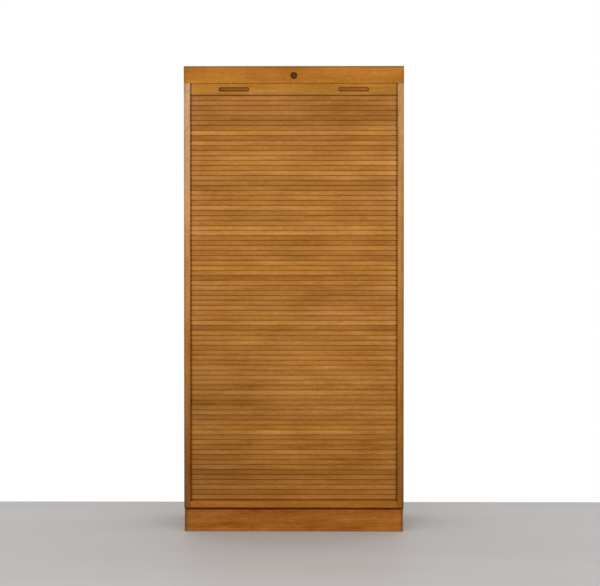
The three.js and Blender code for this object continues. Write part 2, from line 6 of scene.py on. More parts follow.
import bmesh
import bpy
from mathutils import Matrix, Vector

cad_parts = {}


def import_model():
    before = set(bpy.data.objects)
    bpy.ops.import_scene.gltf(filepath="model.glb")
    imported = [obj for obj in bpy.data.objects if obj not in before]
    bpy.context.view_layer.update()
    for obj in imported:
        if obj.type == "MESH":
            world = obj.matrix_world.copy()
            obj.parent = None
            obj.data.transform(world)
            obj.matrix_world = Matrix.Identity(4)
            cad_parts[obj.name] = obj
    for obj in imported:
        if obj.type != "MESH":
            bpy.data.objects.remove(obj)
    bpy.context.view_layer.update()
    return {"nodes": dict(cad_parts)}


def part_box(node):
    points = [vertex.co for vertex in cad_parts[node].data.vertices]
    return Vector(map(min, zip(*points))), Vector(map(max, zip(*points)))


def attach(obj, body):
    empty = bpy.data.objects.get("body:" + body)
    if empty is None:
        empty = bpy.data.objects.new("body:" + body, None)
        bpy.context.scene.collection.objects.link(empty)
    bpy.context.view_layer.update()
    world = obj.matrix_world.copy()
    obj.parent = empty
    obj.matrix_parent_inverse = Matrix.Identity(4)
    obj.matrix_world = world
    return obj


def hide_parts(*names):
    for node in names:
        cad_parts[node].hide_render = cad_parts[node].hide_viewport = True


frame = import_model()
nodes = frame["nodes"]
scene = bpy.context.scene

MM = 0.001
CARCASS = "carcass"
LEAD_RAIL = "lead_rail"
LOCK_BOLT = "lock_bolt"
WELD = 1e-6
FLAT_ANGLE = math.radians(0.5)
EASED_ANGLE = math.radians(35)
EASED_LENGTH = 2.5
EASE_STEPS = 3
END_FACE = 0.75
SHARP_ANGLE = math.radians(38.0)
SLAT_SHARP_ANGLE = math.radians(50.0)
MITRE_LIMIT = 0.4
CIRCLE_STEPS = 32
AXES = {"X": Vector((1, 0, 0)), "Y": Vector((0, 1, 0)), "Z": Vector((0, 0, 1))}

# Curtain, with the same values as the part's source
CURTAIN_TOP = 1.6874
BEND_Z = 0.1227
BEND_RADIUS = 0.042
CANVAS_Y = -0.1835
VISIBLE_SLATS = 81
SLATS_PER_BAND = 5
BANDS = 17
SLAT_THICKNESS = 0.0085
SLAT_GAP = 0.0005
SLAT_EASE = 0.0017
SLAT_CROWN = 0.00012
SHOULDER_X = 0.395
CANVAS_X = 0.383
CANVAS_THICKNESS = 0.0008
CANVAS_BED = 0.0002
TONGUE_LIFT = 0.001
TONGUE_THICKNESS = 0.0045
TONGUE_END = 0.409
TONGUE_SHARE = 0.92
PITCH = (CURTAIN_TOP - BEND_Z) / VISIBLE_SLATS
SLAT_HALF = (PITCH - SLAT_GAP) / 2

# Shape and tone of the slats. A fold share is 1 down between two slats and 0 on a slat's face; it sets
# where painted shade falls between the slats and on the tongues. TURN is about a full turn in radians.
END_EASE = 0.0006
TONGUE_EASE = 0.0005
TONGUE_ROOT = 0.001
# Fold share of the tongues, which paints shade on them in the groove
TONGUE_FOLD = 0.55
ARRIS_STEPS = 5
ARRIS_FOLD_DROP = 0.72
CROWN_POINTS = ((-0.72, 0.10), (-0.4, 0.0))
SLAT_SPANS = 14
SLAT_SEED = 1000
TONE_LIMIT = 2.2
WARM_LIMIT = 2
GRAIN_SHIFT = 40
TURN = 6.3
LONG_WAVES = (0.3, 0.7)
SHORT_WAVES = (0.12, 0.25)
LONG_WANDER = 0.00009
SHORT_WANDER = 0.00005

# Lock with its plug and keyhole, and the lead rail's grips
LOCK_Z = 1.7636
FRONT_Y = -0.2
LEAD_RAIL_Y = -0.196
GRIP_X = 0.2315
GRIP_REACH = 0.0515
GRIP_Z = 1.7102
TURNED_STEPS = 64
PLUG_RADII = (4.2 * MM, 6.8 * MM)
KEYHOLE_RADIUS = 1.5 * MM
KEYHOLE_SLOT = 4.6 * MM
KEYHOLE_HALF_SLOT = 0.7 * MM
KEYHOLE_DEPTH = 7.0 * MM
KEYHOLE_STEPS = 20
PLUG_EASE = 0.5 * MM
HOLE_EASE = 0.3 * MM

# Screws of the rear panel. SLOT_HALF is half a slot's length and width in millimetres.
BACK_SCREW = 0.0032
BACK_SCREW_SUNK = 0.3 * MM
BACK_SCREW_HEAD = 0.7 * MM
BACK_SCREW_EASE = 0.25 * MM
BACK_SCREW_SLACK = 0.2 * MM
BACK_SCREW_HOLE = 1.0 * MM
BACK_PANEL_EASE = 0.4 * MM
SLOT_DEPTH = 0.45 * MM
BACK_SCREW_X = 0.4068
BACK_SCREW_LOW = 0.135
BACK_SCREW_STEP = 0.319
BACK_SCREW_ROWS = 6
BACK_SCREW_SEED = 77
SLOT_HALF = (2.6, 0.4)

# Noise fields: repeats per metre along the grain and both ways across it, detail and roughness
SWAY_FIELD = ((1.4, 7.0, 7.0), 2.0)
WANDER_FIELD = ((0.7, 22.0, 22.0), 1.0)
PATCH_FIELD = ((2.6, 6.0, 6.0), 2.0)
# Patchiness of the painted shade, with some dirt, between the slats
FOLD_SHADE_FIELD = ((5.0, 30.0, 30.0), 2.0)
RUB_FIELD = ((14.0, 60.0, 60.0), 3.0)
RUBBED_FIELD = ((4.0, 16.0, 16.0), 2.0)
SMEAR_FIELD = ((26.0, 90.0, 120.0), 3.0)
SCUFF_FIELD = ((30.0, 60.0, 200.0), 3.0)
STAIN_FIELD = ((6.0, 6.0, 9.0), 4.0, 0.6)
SLUB_FIELD = ((40.0, 40.0, 700.0), 2.0)
PATINA_FIELD = ((420.0, 420.0, 420.0), 4.0, 0.6)
FLOOR_FIELD = ((0.9, 3.0, 1.0), 2.0)
NOISE_MEAN = 0.5

# Fields that lighten and darken oak, and how strongly. A field is read straight, swayed as the grain is,
# or shared, which means that it runs on from one slat to the next.
OAK_FIELDS = {
    "streak": ("swayed", ((1.5, 48.0, 48.0), 3.0, 0.55), 0.75),
    "cloud": ("swayed", ((7.0, 34.0, 34.0), 3.0, 0.6), 0.60),
    "blotch": ("straight", ((5.0, 12.0, 12.0), 2.0), 0.62),
    "mottle": ("swayed", ((46.0, 150.0, 150.0), 2.0, 0.6), 0.55),
    "bleach": ("shared", ((5.0, 6.5, 6.5), 1.0), 0.45),
    "fibre": ("swayed", ((9.0, 430.0, 430.0), 3.0, 0.6), 0.42),
}

# Specks of oak: repeats per metre, and the noise at which they begin and are full
PORES = ((48.0, 1500.0, 1500.0), 0.58, 0.68)
PITS = ((70.0, 260.0, 260.0), 0.74, 0.80)
FLECKS = ((95.0, 45.0, 330.0), 0.62, 0.70)

# Growth of oak: ring width, the tree's heart, how far the grain sways, and the tone of early wood
RING = 0.0034
PLY_RING = 0.011
PITH = (0.09, 0.03)
SWAY = (0.0, 0.016, 0.016)
RING_WANDER = 2.6
EARLY_WOOD = (0.0, 0.5, 1.0, 0.0)
EARLY_MEAN = 0.42
EARLY_TONE = -0.15
EARLY_PORES = (0.75, 0.25)
FLECK_TONE = 0.05
PORE_SHARE = 0.55
PIT_SHARE = 0.5
JOIN_SHARE = 0.5
OFFSET_REACH = (9, 1, 1)
SLAT_SHIFT = (0.37, 0.61)
STAVE_START = (4, 5)
STAVE_SHIFT = (7.0, 0.09, 0.09)

# How red, green and blue follow the tone of the grain, of a patch, of a slat and of a stave
GRAIN_SLOPE = (0.74, 1.00, 1.80)
PATCH_SLOPE = (0.0, 0.14, 0.50)
TONE_SLOPE = (0.092, 0.118, 0.175)
WARM_SLOPE = (0.0, 0.022, 0.085)
STAVE_SLOPE = (0.16, 0.18, 0.22)

# Zones: where a mark begins and ends, and how strong it is at both places
JOIN_LINE = (0.0, 0.0005, 1.0, 0.0)
WEAR_WIDTH = (0.006, -0.0006)
WEAR = (0.0, 1.0, 0.4, 0.0)
WEAR_KIND = (0.42, 0.58, 0.0, 1.0)
# Painted shade with some dirt down between the slats: how patchy it is, and how much of it is warmed
FOLD_SHADE_SPREAD = (0.2, 0.8, 0.50, 0.95)
FOLD_TINGE = 0.6
BEHIND_EDGE = (-0.1990, -0.1968, 0.0, 1.0)
GRIP_RECESS = (LEAD_RAIL_Y + 0.0006, LEAD_RAIL_Y + 0.0024, 0.0, 1.0)
GRIP_RIM = (0.0105, 0.0115, 1.0, 0.0)
# Painted shade with some dirt in the grips' recesses: low down, at their outline, more in the left one
GRIP_LOW = (0.0015, -0.0055, 0.32, 1.0)
GRIP_OUTLINE = (0.0, 0.0074, 0.85, 1.0)
GRIP_SIDE = (-0.15, 0.15, 0.20, -0.06)
GRIP_SMEAR = -0.6
GRIP_TINGE = 0.5
GRIP_HALO = (0.0088, 0.0140, 0.5, 0.0)
RAIL_ENDS = (0.385, 0.393, 0.0, 0.5)
RAIL_GREY = (1.6900, 1.7010, 0.6, 0.0)
# Painted highlight along the lead rail's top arris
RAIL_CREST = (1.7298, 1.7316, 0.0, 0.8)
# Painted shade along the lead rail's lower arris
RAIL_LOW = (1.6888, 1.6912, 0.66, 0.0)
# Painted shade, dark and grey, on the fascia's arrises: along its top, at its ends and on its top arris
FASCIA_FRONT = (-0.1995, -0.1980, 1.0, 0.0)
FASCIA_TOP = (1.7915, 1.7958, 0.0, 0.75)
FASCIA_ENDS = (0.4080, 0.4215, 0.0, 0.45)
FASCIA_ARRIS = (1.7958, 1.7975, 0.0, 0.55)
LOCK_HALO = (0.0150, 0.0205, 0.4, 0.0)
# Painted shade on the plinth's lip in the shadow gap
PLINTH_LIP = (0.0845, 0.0852, 0.0, 0.9)
# Painted shade at the plinth's ends
PLINTH_ENDS = (0.4060, 0.4205, 0.0, 0.85)
PLINTH_FRONT = (-0.1970, -0.1940, 1.0, 0.0)
PLINTH_FOOT = (0.012, 0.0, 0.0, 0.8)
# Painted shade along the bottom rail's lower arris, by the shadow gap
BOTTOM_RAIL_LOW = (0.0925, 0.0962, 0.7, 0.0)
# Painted shade on the stiles' outer arris, stronger lower down
STILE_RIM = (0.4165, 0.4205, 0.0, 1.0)
STILE_FRONT = (-0.1990, -0.1960, 1.0, 0.0)
STILE_HEIGHT = (1.5, 1.0, 0.20, 0.62)
# Painted shade in the front of the groove beside the slats
GROOVE_WALL = (0.4010, 0.4022, 1.0, 0.0)
GROOVE_MOUTH = (-0.1990, -0.1970, 0.0, 1.0)
GROOVE_REAR = (-0.1780, -0.1720, 0.7, 0.0)
# Painted shade on the slats' lower left corner
CORNER_SIDE = (-0.33, 0.0, 1.0, 0.0)
CORNER_HEIGHT = (0.55, 0.80, 1.0, 0.0)
# Painted light at the slats' ends, strongest near the top and falling off lower down
SLAT_ENDS = (0.345, 0.390, 0.0, 1.0)
SLAT_ENDS_HEIGHT = (0.2, 1.6, 0.1, 0.9)
# Painted shade on the tongues in the groove, stronger lower down
TONGUES = (0.3946, 0.3954, 0.0, 1.0)
TONGUES_HEIGHT = (0.6, 1.4, 0.70, 0.40)

# What marks do to red, green and blue: factors, and where they get paler also what is added
PORE_DARK = (0.42, 0.34, 0.26)
PIT_DARK = (0.35, 0.26, 0.18)
JOIN_DARK = (0.5, 0.45, 0.4)
# Painted shade with some dirt between the slats, and the warm brown it is tinged with
FOLD_SHADE_AND_DIRT = (0.74, 0.52, 0.01)
FOLD_SHADE_WARMTH = (1.0, 0.97, 0.1)
WORN_PALE = ((1.2, 1.18, 1.2), (0.010, 0.009, 0.006))
WORN_DARK = (0.62, 0.58, 0.52)
END_GRAIN = (0.72, 0.68, 0.62)
# Painted shade with some dirt in the grips, and its warm tinge
GRIP_SHADE_AND_DIRT = (0.32, 0.17, 0.0)
GRIP_SHADE_WARMTH = (1.04, 0.97, 0.3)
HALO_PALE = ((1.06, 1.06, 1.1), (0.0, 0.012, 0.024))
RAIL_ENDS_PALE = ((1.06, 1.08, 1.2), (0.0, 0.006, 0.012))
RAIL_GREYED = ((0.74, 0.82, 1.2), (0.0, 0.0, 0.008))
# Painted highlight along the lead rail's top arris
RAIL_CREST_HIGHLIGHT = ((1.32, 1.26, 1.2), (0.0, 0.004, 0.004))
# Painted shade along the lead rail's lower arris
RAIL_LOW_SHADE = (0.52, 0.32, 0.01)
# Painted shade on the fascia's arrises, and its grey
FASCIA_ARRIS_SHADE = (0.52, 0.56, 0.90)
FASCIA_GREY = (150, 120, 88)
LOCK_HALO_DARK = (0.86, 0.90, 1.2)
# Painted shade on the plinth's lip in the shadow gap
LIP_SHADE = (0.56, 0.28, 0.01)
# Painted shade at the plinth's ends
PLINTH_ENDS_SHADE = (0.50, 0.60, 1.30)
SCUFF_PALE = ((0.7, 0.75, 0.8), (0.02, 0.025, 0.025))
# Painted shade along the bottom rail's lower arris
BOTTOM_RAIL_SHADE = (0.45, 0.33, 0.18)
# Painted shade on the stiles' outer arris
STILE_RIM_SHADE = (0.52, 0.58, 1.10)
# Painted shade in the front of the groove
GROOVE_SHADE = (0.62, 0.42, 0.10)
# Painted shade on the slats' lower left corner
CORNER_SHADE = (0.86, 0.86, 0.90)
# Painted light at the slats' ends
SLAT_ENDS_PALE = ((1.10, 1.12, 1.2), (0.0, 0.004, 0.010))
# Painted shade on the tongues in the groove
TONGUE_SHADE = (0.80, 0.60, 0.05)
DARKEST = (0.003, 0.002, 0.001)

# Inside boards differ from the others by their seeds, contrast, roughness and gloss
INSIDE_SEED = 40
PLY_CONTRAST = 0.6
SOLID_CONTRAST = 0.8

# Varnish: how roughness and relief follow the fibres, the pores and the early wood
BOARD_ROUGHNESS = 0.45
INSIDE_ROUGHNESS = 0.62
BOARD_GLOSS = 0.05
INSIDE_GLOSS = 0.12
FIBRE_ROUGHNESS = 0.22
PORE_ROUGHNESS = 0.2
EARLY_RELIEF = -0.35
FIBRE_RELIEF = 0.5
PORE_RELIEF = -0.9

# Colour of the boards by height: stops of a height and an sRGB colour. The stiles, sides and slats get
# lighter higher up, partly painted light from above, and the stiles' pale tops are a painted sheen; the
# plinth is darker towards its top.
STILE_LEFT = [(0.0, (118, 74, 29)), (0.30, (136, 85, 32)), (0.70, (172, 115, 50)), (1.10, (189, 133, 66)),
              (1.50, (193, 146, 95)), (1.74, (196, 157, 120)), (1.80, (194, 154, 114))]
STILE_RIGHT = [(0.0, (140, 89, 32)), (0.30, (151, 97, 35)), (0.70, (174, 118, 50)), (1.10, (185, 129, 59)),
               (1.50, (187, 136, 77)), (1.74, (188, 143, 95)), (1.80, (185, 140, 91))]
SLATS = [(0.0, (158, 101, 45)), (0.40, (167, 110, 49)), (1.10, (175, 117, 54)), (1.62, (175, 117, 53)),
         (1.66, (165, 108, 50))]
SIDES = [(0.0, (149, 97, 36)), (0.6, (165, 109, 43)), (1.80, (177, 121, 53))]
PLINTH = [(0.0, (162, 99, 31)), (0.05, (157, 94, 29)), (0.0917, (150, 88, 29))]

# Canvas: the pitch of its threads, its colours, where stains begin and are full, and its tone
THREAD_PITCH = 0.0011
CANVAS_PALE = (176, 156, 120)
CANVAS_STAINED = (138, 112, 74)
STAINS = (0.35, 0.7)
SLUB_TONE = (0.3, 0.82)
WEAVE_TONE = 0.12

# Patina of metals: its shift from one metal to the next, and how rubs and mottling make it bright
PATINA_SHIFT = (0.37, 0.11, 0.53)
RUB_SHARE = 0.5
MOTTLE_SHARE = 0.6
BRIGHT = (0.35, 0.8)
BRIGHT_ARRIS = (0.3, 0.6)
PATINA_ROUGHNESS = 0.25
PLAIN_RUBS = (300.0, 300.0, 300.0)
STEEL_RUBS = (30.0, 900.0, 900.0)
METAL_ARRIS = 0.0003

# Metals: a dark and a bright sRGB colour, seed, roughness, and how often rubs repeat per metre
METALS = {
    "bronze": ((26, 14, 3), (66, 41, 10), 1, 0.45, PLAIN_RUBS),
    "brass": ((52, 38, 18), (102, 80, 42), 2, 0.42, PLAIN_RUBS),
    "steel": ((96, 92, 86), (140, 136, 128), 3, 0.4, STEEL_RUBS),
}

# Photograph's frame: 600 pixels across are this many metres in the cabinet's front plane
FRAME_WIDTH = 2.3189
CAMERA_DISTANCE = 5.5
AIM_Z = 0.9243
CAMERA_AZIMUTH = math.radians(0.5)
CAMERA_PITCH = math.radians(0.9)
AIM_X = 0.0238
SENSOR = 36.0
CLIP = (0.1, 60.0)

# Stage and lamps. A lamp has a place, an aim, a size and a power in watts.
WALL_Y = 0.5087
STAGE_REACH = 14.0
FLOOR_COLOUR = (186, 184, 183)
FLOOR_TONE = (0.2, 0.8, 0.97, 1.03)
WHITE = (1.0, 1.0, 1.0, 1.0)
WORLD_STRENGTH = 0.75
LAMPS = {
    "key": ((-1.1, -4.0, 2.9), (0.0, -0.2, 1.1), (2.6, 2.2), 46),
    "fill": ((1.6, -4.0, 2.5), (0.0, -0.2, 1.1), (2.4, 2.4), 34),
    "back_left": ((-3.2, 2.8, 2.6), (0.0, 0.2, 0.9), (2.4, 2.4), 16),
    "back_right": ((3.2, 2.6, 2.6), (0.0, 0.2, 0.9), (2.4, 2.4), 16),
}

# Colour sockets of the Mix node
MIX_FIRST = 6
MIX_SECOND = 7
MIX_RESULT = 2


def linear(red, green, blue):
    """Scene colour of an sRGB colour given from 0 to 255"""
    def channel(value):
        share = value / 255
        return share / 12.92 if share <= 0.04045 else ((share + 0.055) / 1.055) ** 2.4
    return channel(red), channel(green), channel(blue)


class Graph:
    """Short way to add a material's nodes and to join them"""

    def __init__(self, tree):
        self.tree = tree
        tree.nodes.clear()

    def add(self, kind, **settings):
        node = self.tree.nodes.new("ShaderNode" + kind)
        for key, value in settings.items():
            setattr(node, key, value)
        return node

    def put(self, socket, value):
        if isinstance(value, bpy.types.NodeSocket):
            self.tree.links.new(value, socket)
        else:
            socket.default_value = value

    def fill(self, node, *values):
        """Puts values into a node's inputs, in their order"""
        for socket, value in zip(node.inputs, values):
            self.put(socket, value)
        return node

    def math(self, operation, *values, clamp=False):
        return self.fill(self.add("Math", operation=operation, use_clamp=clamp), *values).outputs[0]

    def times(self, first, second):
        return self.math("MULTIPLY", first, second)

    def minus(self, first, second):
        return self.math("SUBTRACT", first, second)

    def unsigned(self, value):
        """Number without its sign"""
        return self.math("ABSOLUTE", value)

    def swing(self, field, strength, base, clamp=False):
        """Base, raised or lowered as a noise field lies above or below its mean"""
        return self.math("MULTIPLY_ADD", self.minus(field, NOISE_MEAN), strength, base, clamp=clamp)

    def vector(self, operation, *values):
        node = self.fill(self.add("VectorMath", operation=operation), *values)
        return node.outputs["Value" if operation == "LENGTH" else "Vector"]

    def combine(self, x, y, z):
        return self.fill(self.add("CombineXYZ"), x, y, z).outputs[0]

    def grey(self, value):
        return self.combine(value, value, value)

    def noise(self, place, scale, detail=2.0, roughness=0.5, colour=False):
        node = self.add("TexNoise")
        self.put(node.inputs["Vector"], self.vector("MULTIPLY", place, scale))
        node.inputs["Scale"].default_value = 1.0
        node.inputs["Detail"].default_value = detail
        node.inputs["Roughness"].default_value = roughness
        return node.outputs["Color" if colour else "Fac"]

    def specks(self, place, scale, start, full):
        return self.range(self.noise(place, scale, 1.0), start, full)

    def range(self, value, start, end, at_start=0.0, at_end=1.0, smooth=True):
        node = self.add("MapRange", interpolation_type="SMOOTHSTEP" if smooth else "LINEAR")
        return self.fill(node, value, start, end, at_start, at_end).outputs[0]

    def mix(self, share, first, second):
        node = self.add("Mix", data_type="RGBA")
        self.put(node.inputs["Factor"], share)
        self.put(node.inputs[MIX_FIRST], first)
        self.put(node.inputs[MIX_SECOND], second)
        return node.outputs[MIX_RESULT]

    def mark(self, share, colour, factors, added=None):
        """Colour mixed with the same colour times its factors, to which something may be added"""
        if added:
            marked = self.vector("MULTIPLY_ADD", colour, factors, added)
        else:
            marked = self.vector("MULTIPLY", colour, factors)
        return self.mix(share, colour, marked)

    def attribute(self, name):
        return self.add("Attribute", attribute_name=name).outputs["Fac"]

    def ramp(self, value, stops):
        node = self.add("ValToRGB")
        elements = node.color_ramp.elements
        for _ in stops[2:]:
            elements.new(0.5)
        for element, (position, colour) in zip(elements, stops):
            element.position = position
            element.color = (*colour, 1.0)
        self.put(node.inputs[0], value)
        return node.outputs[0]

    def surface(self, **settings):
        shader = self.add("BsdfPrincipled")
        output = self.add("OutputMaterial")
        self.tree.links.new(shader.outputs[0], output.inputs[0])
        for name, value in settings.items():
            self.put(shader.inputs[name.replace("_", " ")], value)

    def bump(self, height, strength, distance):
        node = self.add("Bump")
        node.inputs["Strength"].default_value = strength
        node.inputs["Distance"].default_value = distance
        self.put(node.inputs["Height"], height)
        return node.outputs[0]


def new_graph(name):
    material = bpy.data.materials.new(name)
    material.use_nodes = True
    return material, Graph(material.node_tree)


def object_place(g):
    return g.add("TexCoord").outputs["Object"]


def object_axes(g):
    return g.fill(g.add("SeparateXYZ"), object_place(g)).outputs


def edge_distance(g, axes, box):
    """Distance on a face of a board from the nearest edge of that face"""
    gaps = []
    for axis, low, high in zip(axes, *box):
        gaps.append(g.math("MINIMUM", g.unsigned(g.minus(axis, low)), g.unsigned(g.minus(axis, high))))
    a, b, c = gaps
    return g.math("MAXIMUM", g.math("MINIMUM", a, b), g.math("MINIMUM", g.math("MAXIMUM", a, b), c))


def spread(g, value, slope):
    """Colour factor of 1 where a value is 0, rising by a slope in each channel"""
    return g.vector("MULTIPLY_ADD", g.grey(value), slope, (1.0, 1.0, 1.0))


def colour_by_height(g, height, stops):
    """Colour that changes with height, from stops of a height and an sRGB colour"""
    low, high = stops[0][0], stops[-1][0]
    share = g.range(height, low, high, smooth=False)
    return g.ramp(share, [((z - low) / (high - low), linear(*colour)) for z, colour in stops])


def joined_staves(g, side, start, width):
    """Staves side by side: the shift of each one's grain, its tone, and the dark line where two meet"""
    count = g.math("DIVIDE", g.math("ADD", side, start), width)
    dice = g.add("TexWhiteNoise", noise_dimensions="1D")
    g.put(dice.inputs["W"], g.math("FLOOR", count))
    shift = g.vector("MULTIPLY", dice.outputs["Color"], STAVE_SHIFT)
    tone = g.minus(dice.outputs["Value"], NOISE_MEAN)
    rest = g.math("FRACT", count)
    gap = g.math("MINIMUM", rest, g.minus(1.0, rest))
    return shift, tone, g.range(g.times(gap, width), *JOIN_LINE)


def worn_arrises(g, colour, place, axes, box):
    """Arrises rubbed pale in some places and dark in others, over a width that varies"""
    width = g.math("MULTIPLY_ADD", g.noise(place, *RUB_FIELD), *WEAR_WIDTH)
    worn = g.range(g.math("DIVIDE", edge_distance(g, axes, box), width), *WEAR)
    pale = g.vector("MULTIPLY_ADD", colour, *WORN_PALE)
    dark = g.vector("MULTIPLY", colour, WORN_DARK)
    kind = g.range(g.noise(place, *RUBBED_FIELD), *WEAR_KIND)
    return g.mix(worn, colour, g.mix(kind, dark, pale))


def oak(name, colour, grain, seed, box=None, behind=None, contrast=1.0, ring=RING,
        roughness=BOARD_ROUGHNESS, gloss=BOARD_GLOSS, staves=None, slats=False, marks=None):
    """Varnished oak: growth rings, fibres, open pores and flecks, with its own tone on each board.

    colour is one sRGB colour or the stops of a colour by height, which hold painted light, and behind is
    such stops behind a front edge.
    staves is the way across which a board is joined and the width of its staves. A box is given for a
    board with worn arrises.
    """
    material, g = new_graph(name)
    axes = object_axes(g)
    x, y, z = axes
    along, across, through = {"X": (x, y, z), "Y": (y, x, z), "Z": (z, y, x)}[grain]
    spot = random.Random(seed)
    offset = tuple(spot.uniform(-reach, reach) for reach in OFFSET_REACH)
    shared = g.combine(along, across, through)
    place = g.vector("ADD", shared, offset)
    heart = (0.0, PITH[0] - offset[1], PITH[1] - offset[2])
    stave_tone = None
    join = None
    if slats:
        shift = g.attribute("shift")
        place = g.vector("ADD", place, g.combine(shift, *[g.times(shift, share) for share in SLAT_SHIFT]))
    if staves:
        way, width = staves
        side = across if way == "across" else through
        stave_shift, stave_tone, join = joined_staves(g, side, spot.uniform(*STAVE_START), width)
        place = g.vector("ADD", place, stave_shift)

    sway = g.vector("SUBTRACT", g.noise(place, *SWAY_FIELD, colour=True), (NOISE_MEAN,) * 3)
    swayed = g.vector("ADD", place, g.vector("MULTIPLY", sway, SWAY))
    radius = g.vector("LENGTH", g.vector("MULTIPLY", g.vector("ADD", swayed, heart), (0.0, 1.0, 1.0)))
    wander = g.times(g.noise(place, *WANDER_FIELD), RING_WANDER)
    early = g.range(g.math("FRACT", g.math("ADD", g.math("DIVIDE", radius, ring), wander)), *EARLY_WOOD)
    pores = g.times(g.specks(swayed, *PORES), g.math("MULTIPLY_ADD", early, *EARLY_PORES))
    pits = g.specks(place, *PITS)
    places = {"swayed": swayed, "straight": place, "shared": shared}
    noises = {key: g.noise(places[where], *field) for key, (where, field, _) in OAK_FIELDS.items()}
    value = 0.0
    for key, (_, _, strength) in OAK_FIELDS.items():
        value = g.swing(noises[key], strength, value)
    value = g.math("MULTIPLY_ADD", g.minus(early, EARLY_MEAN), EARLY_TONE, value)
    value = g.math("MULTIPLY_ADD", g.specks(place, *FLECKS), FLECK_TONE, value)

    patch = g.minus(g.noise(place, *PATCH_FIELD), NOISE_MEAN)
    tint = spread(g, value, Vector(GRAIN_SLOPE) * contrast)
    tint = g.vector("MULTIPLY", tint, spread(g, patch, PATCH_SLOPE))
    if slats:
        tint = g.vector("MULTIPLY", tint, spread(g, g.attribute("tone"), TONE_SLOPE))
        tint = g.vector("MULTIPLY", tint, spread(g, g.attribute("warm"), WARM_SLOPE))
    if stave_tone:
        tint = g.vector("MULTIPLY", tint, spread(g, stave_tone, STAVE_SLOPE))
    # Colour by height: partly painted light, lighter higher up on the stiles, sides and slats
    ground = colour_by_height(g, z, colour) if isinstance(colour, list) else linear(*colour)
    if behind:
        ground = g.mix(g.range(across, *BEHIND_EDGE), ground, colour_by_height(g, z, behind))
    wood = g.vector("MULTIPLY", ground, tint)
    wood = g.mark(g.times(pores, PORE_SHARE), wood, PORE_DARK)
    wood = g.mark(g.times(pits, PIT_SHARE), wood, PIT_DARK)
    if join:
        wood = g.mark(g.times(join, JOIN_SHARE), wood, JOIN_DARK)
    if slats:
        # Painted shade with some dirt down between the slats and on the tongues, patchy and warm brown
        fold = g.attribute("fold")
        fold_patches = g.range(g.noise(place, *FOLD_SHADE_FIELD), *FOLD_SHADE_SPREAD)
        wood = g.mark(g.times(fold, fold_patches), wood, FOLD_SHADE_AND_DIRT)
        wood = g.mark(g.times(g.math("POWER", fold, 0.5), FOLD_TINGE), wood, FOLD_SHADE_WARMTH)
    if box:
        wood = worn_arrises(g, wood, place, axes, box)
    wood = g.mark(g.attribute("end"), wood, END_GRAIN)
    if marks:
        wood = marks(g, wood, *axes)
    wood = g.vector("MAXIMUM", wood, DARKEST)

    shine = g.swing(noises["fibre"], FIBRE_ROUGHNESS, roughness)
    shine = g.math("MULTIPLY_ADD", pores, PORE_ROUGHNESS, shine)
    relief = g.math("MULTIPLY_ADD", early, EARLY_RELIEF, g.times(noises["fibre"], FIBRE_RELIEF))
    relief = g.math("MULTIPLY_ADD", pores, PORE_RELIEF, relief)
    g.surface(Base_Color=wood, Roughness=shine, Specular_IOR_Level=gloss, Coat_Weight=0.05,
              Coat_Roughness=0.35, Normal=g.bump(relief, strength=0.35, distance=0.00035))
    return material


def lead_rail_marks(g, colour, x, y, z):
    """Painted shade with some dirt low in both grips, more in the left, and pale wear round them; a painted
    highlight on the top arris, and painted shade on the lower arris
    """
    side = g.unsigned(x)
    past_end = g.minus(g.unsigned(g.minus(side, GRIP_X)), GRIP_REACH)
    up = g.minus(z, GRIP_Z)
    away = g.vector("LENGTH", g.combine(g.math("MAXIMUM", past_end, 0.0), up, 0.0))
    recess = g.range(y, *GRIP_RECESS)
    inside = g.times(recess, g.range(away, *GRIP_RIM))
    smear = g.noise(g.combine(x, y, z), *SMEAR_FIELD)
    # Painted shade with some dirt in the recesses, strongest low down and at the outline
    recess_shade = g.times(g.range(up, *GRIP_LOW), g.range(away, *GRIP_OUTLINE))
    recess_shade = g.math("ADD", recess_shade, g.range(x, *GRIP_SIDE))
    recess_shade = g.swing(smear, GRIP_SMEAR, recess_shade, clamp=True)
    colour = g.mark(g.times(inside, recess_shade), colour, GRIP_SHADE_AND_DIRT)
    colour = g.mark(g.times(inside, GRIP_TINGE), colour, GRIP_SHADE_WARMTH)
    halo = g.times(g.range(away, *GRIP_HALO), g.minus(1.0, recess))
    colour = g.mark(halo, colour, *HALO_PALE)
    colour = g.mark(g.range(side, *RAIL_ENDS), colour, *RAIL_ENDS_PALE)
    colour = g.mark(g.range(z, *RAIL_GREY), colour, *RAIL_GREYED)
    # Painted highlight along the lead rail's top arris
    colour = g.mark(g.range(z, *RAIL_CREST), colour, *RAIL_CREST_HIGHLIGHT)
    # Painted shade along the lead rail's lower arris
    return g.mark(g.range(z, *RAIL_LOW), colour, RAIL_LOW_SHADE)


def fascia_marks(g, colour, x, y, z):
    """Painted shade, dark and grey, on the front face's arrises, and a faint dark ring round the lock"""
    front = g.range(y, *FASCIA_FRONT)
    # Painted shade on the arrises along the top and at the ends
    shaded_arrises = g.math("MAXIMUM", g.range(z, *FASCIA_TOP), g.range(g.unsigned(x), *FASCIA_ENDS))
    colour = g.mark(g.times(shaded_arrises, front), colour, FASCIA_ARRIS_SHADE)
    # Painted grey shade on the top arris
    grey = g.times(g.range(z, *FASCIA_ARRIS), front)
    colour = g.mix(grey, colour, (*linear(*FASCIA_GREY), 1.0))
    away = g.vector("LENGTH", g.combine(x, g.minus(z, LOCK_Z), 0.0))
    return g.mark(g.range(away, *LOCK_HALO), colour, LOCK_HALO_DARK)


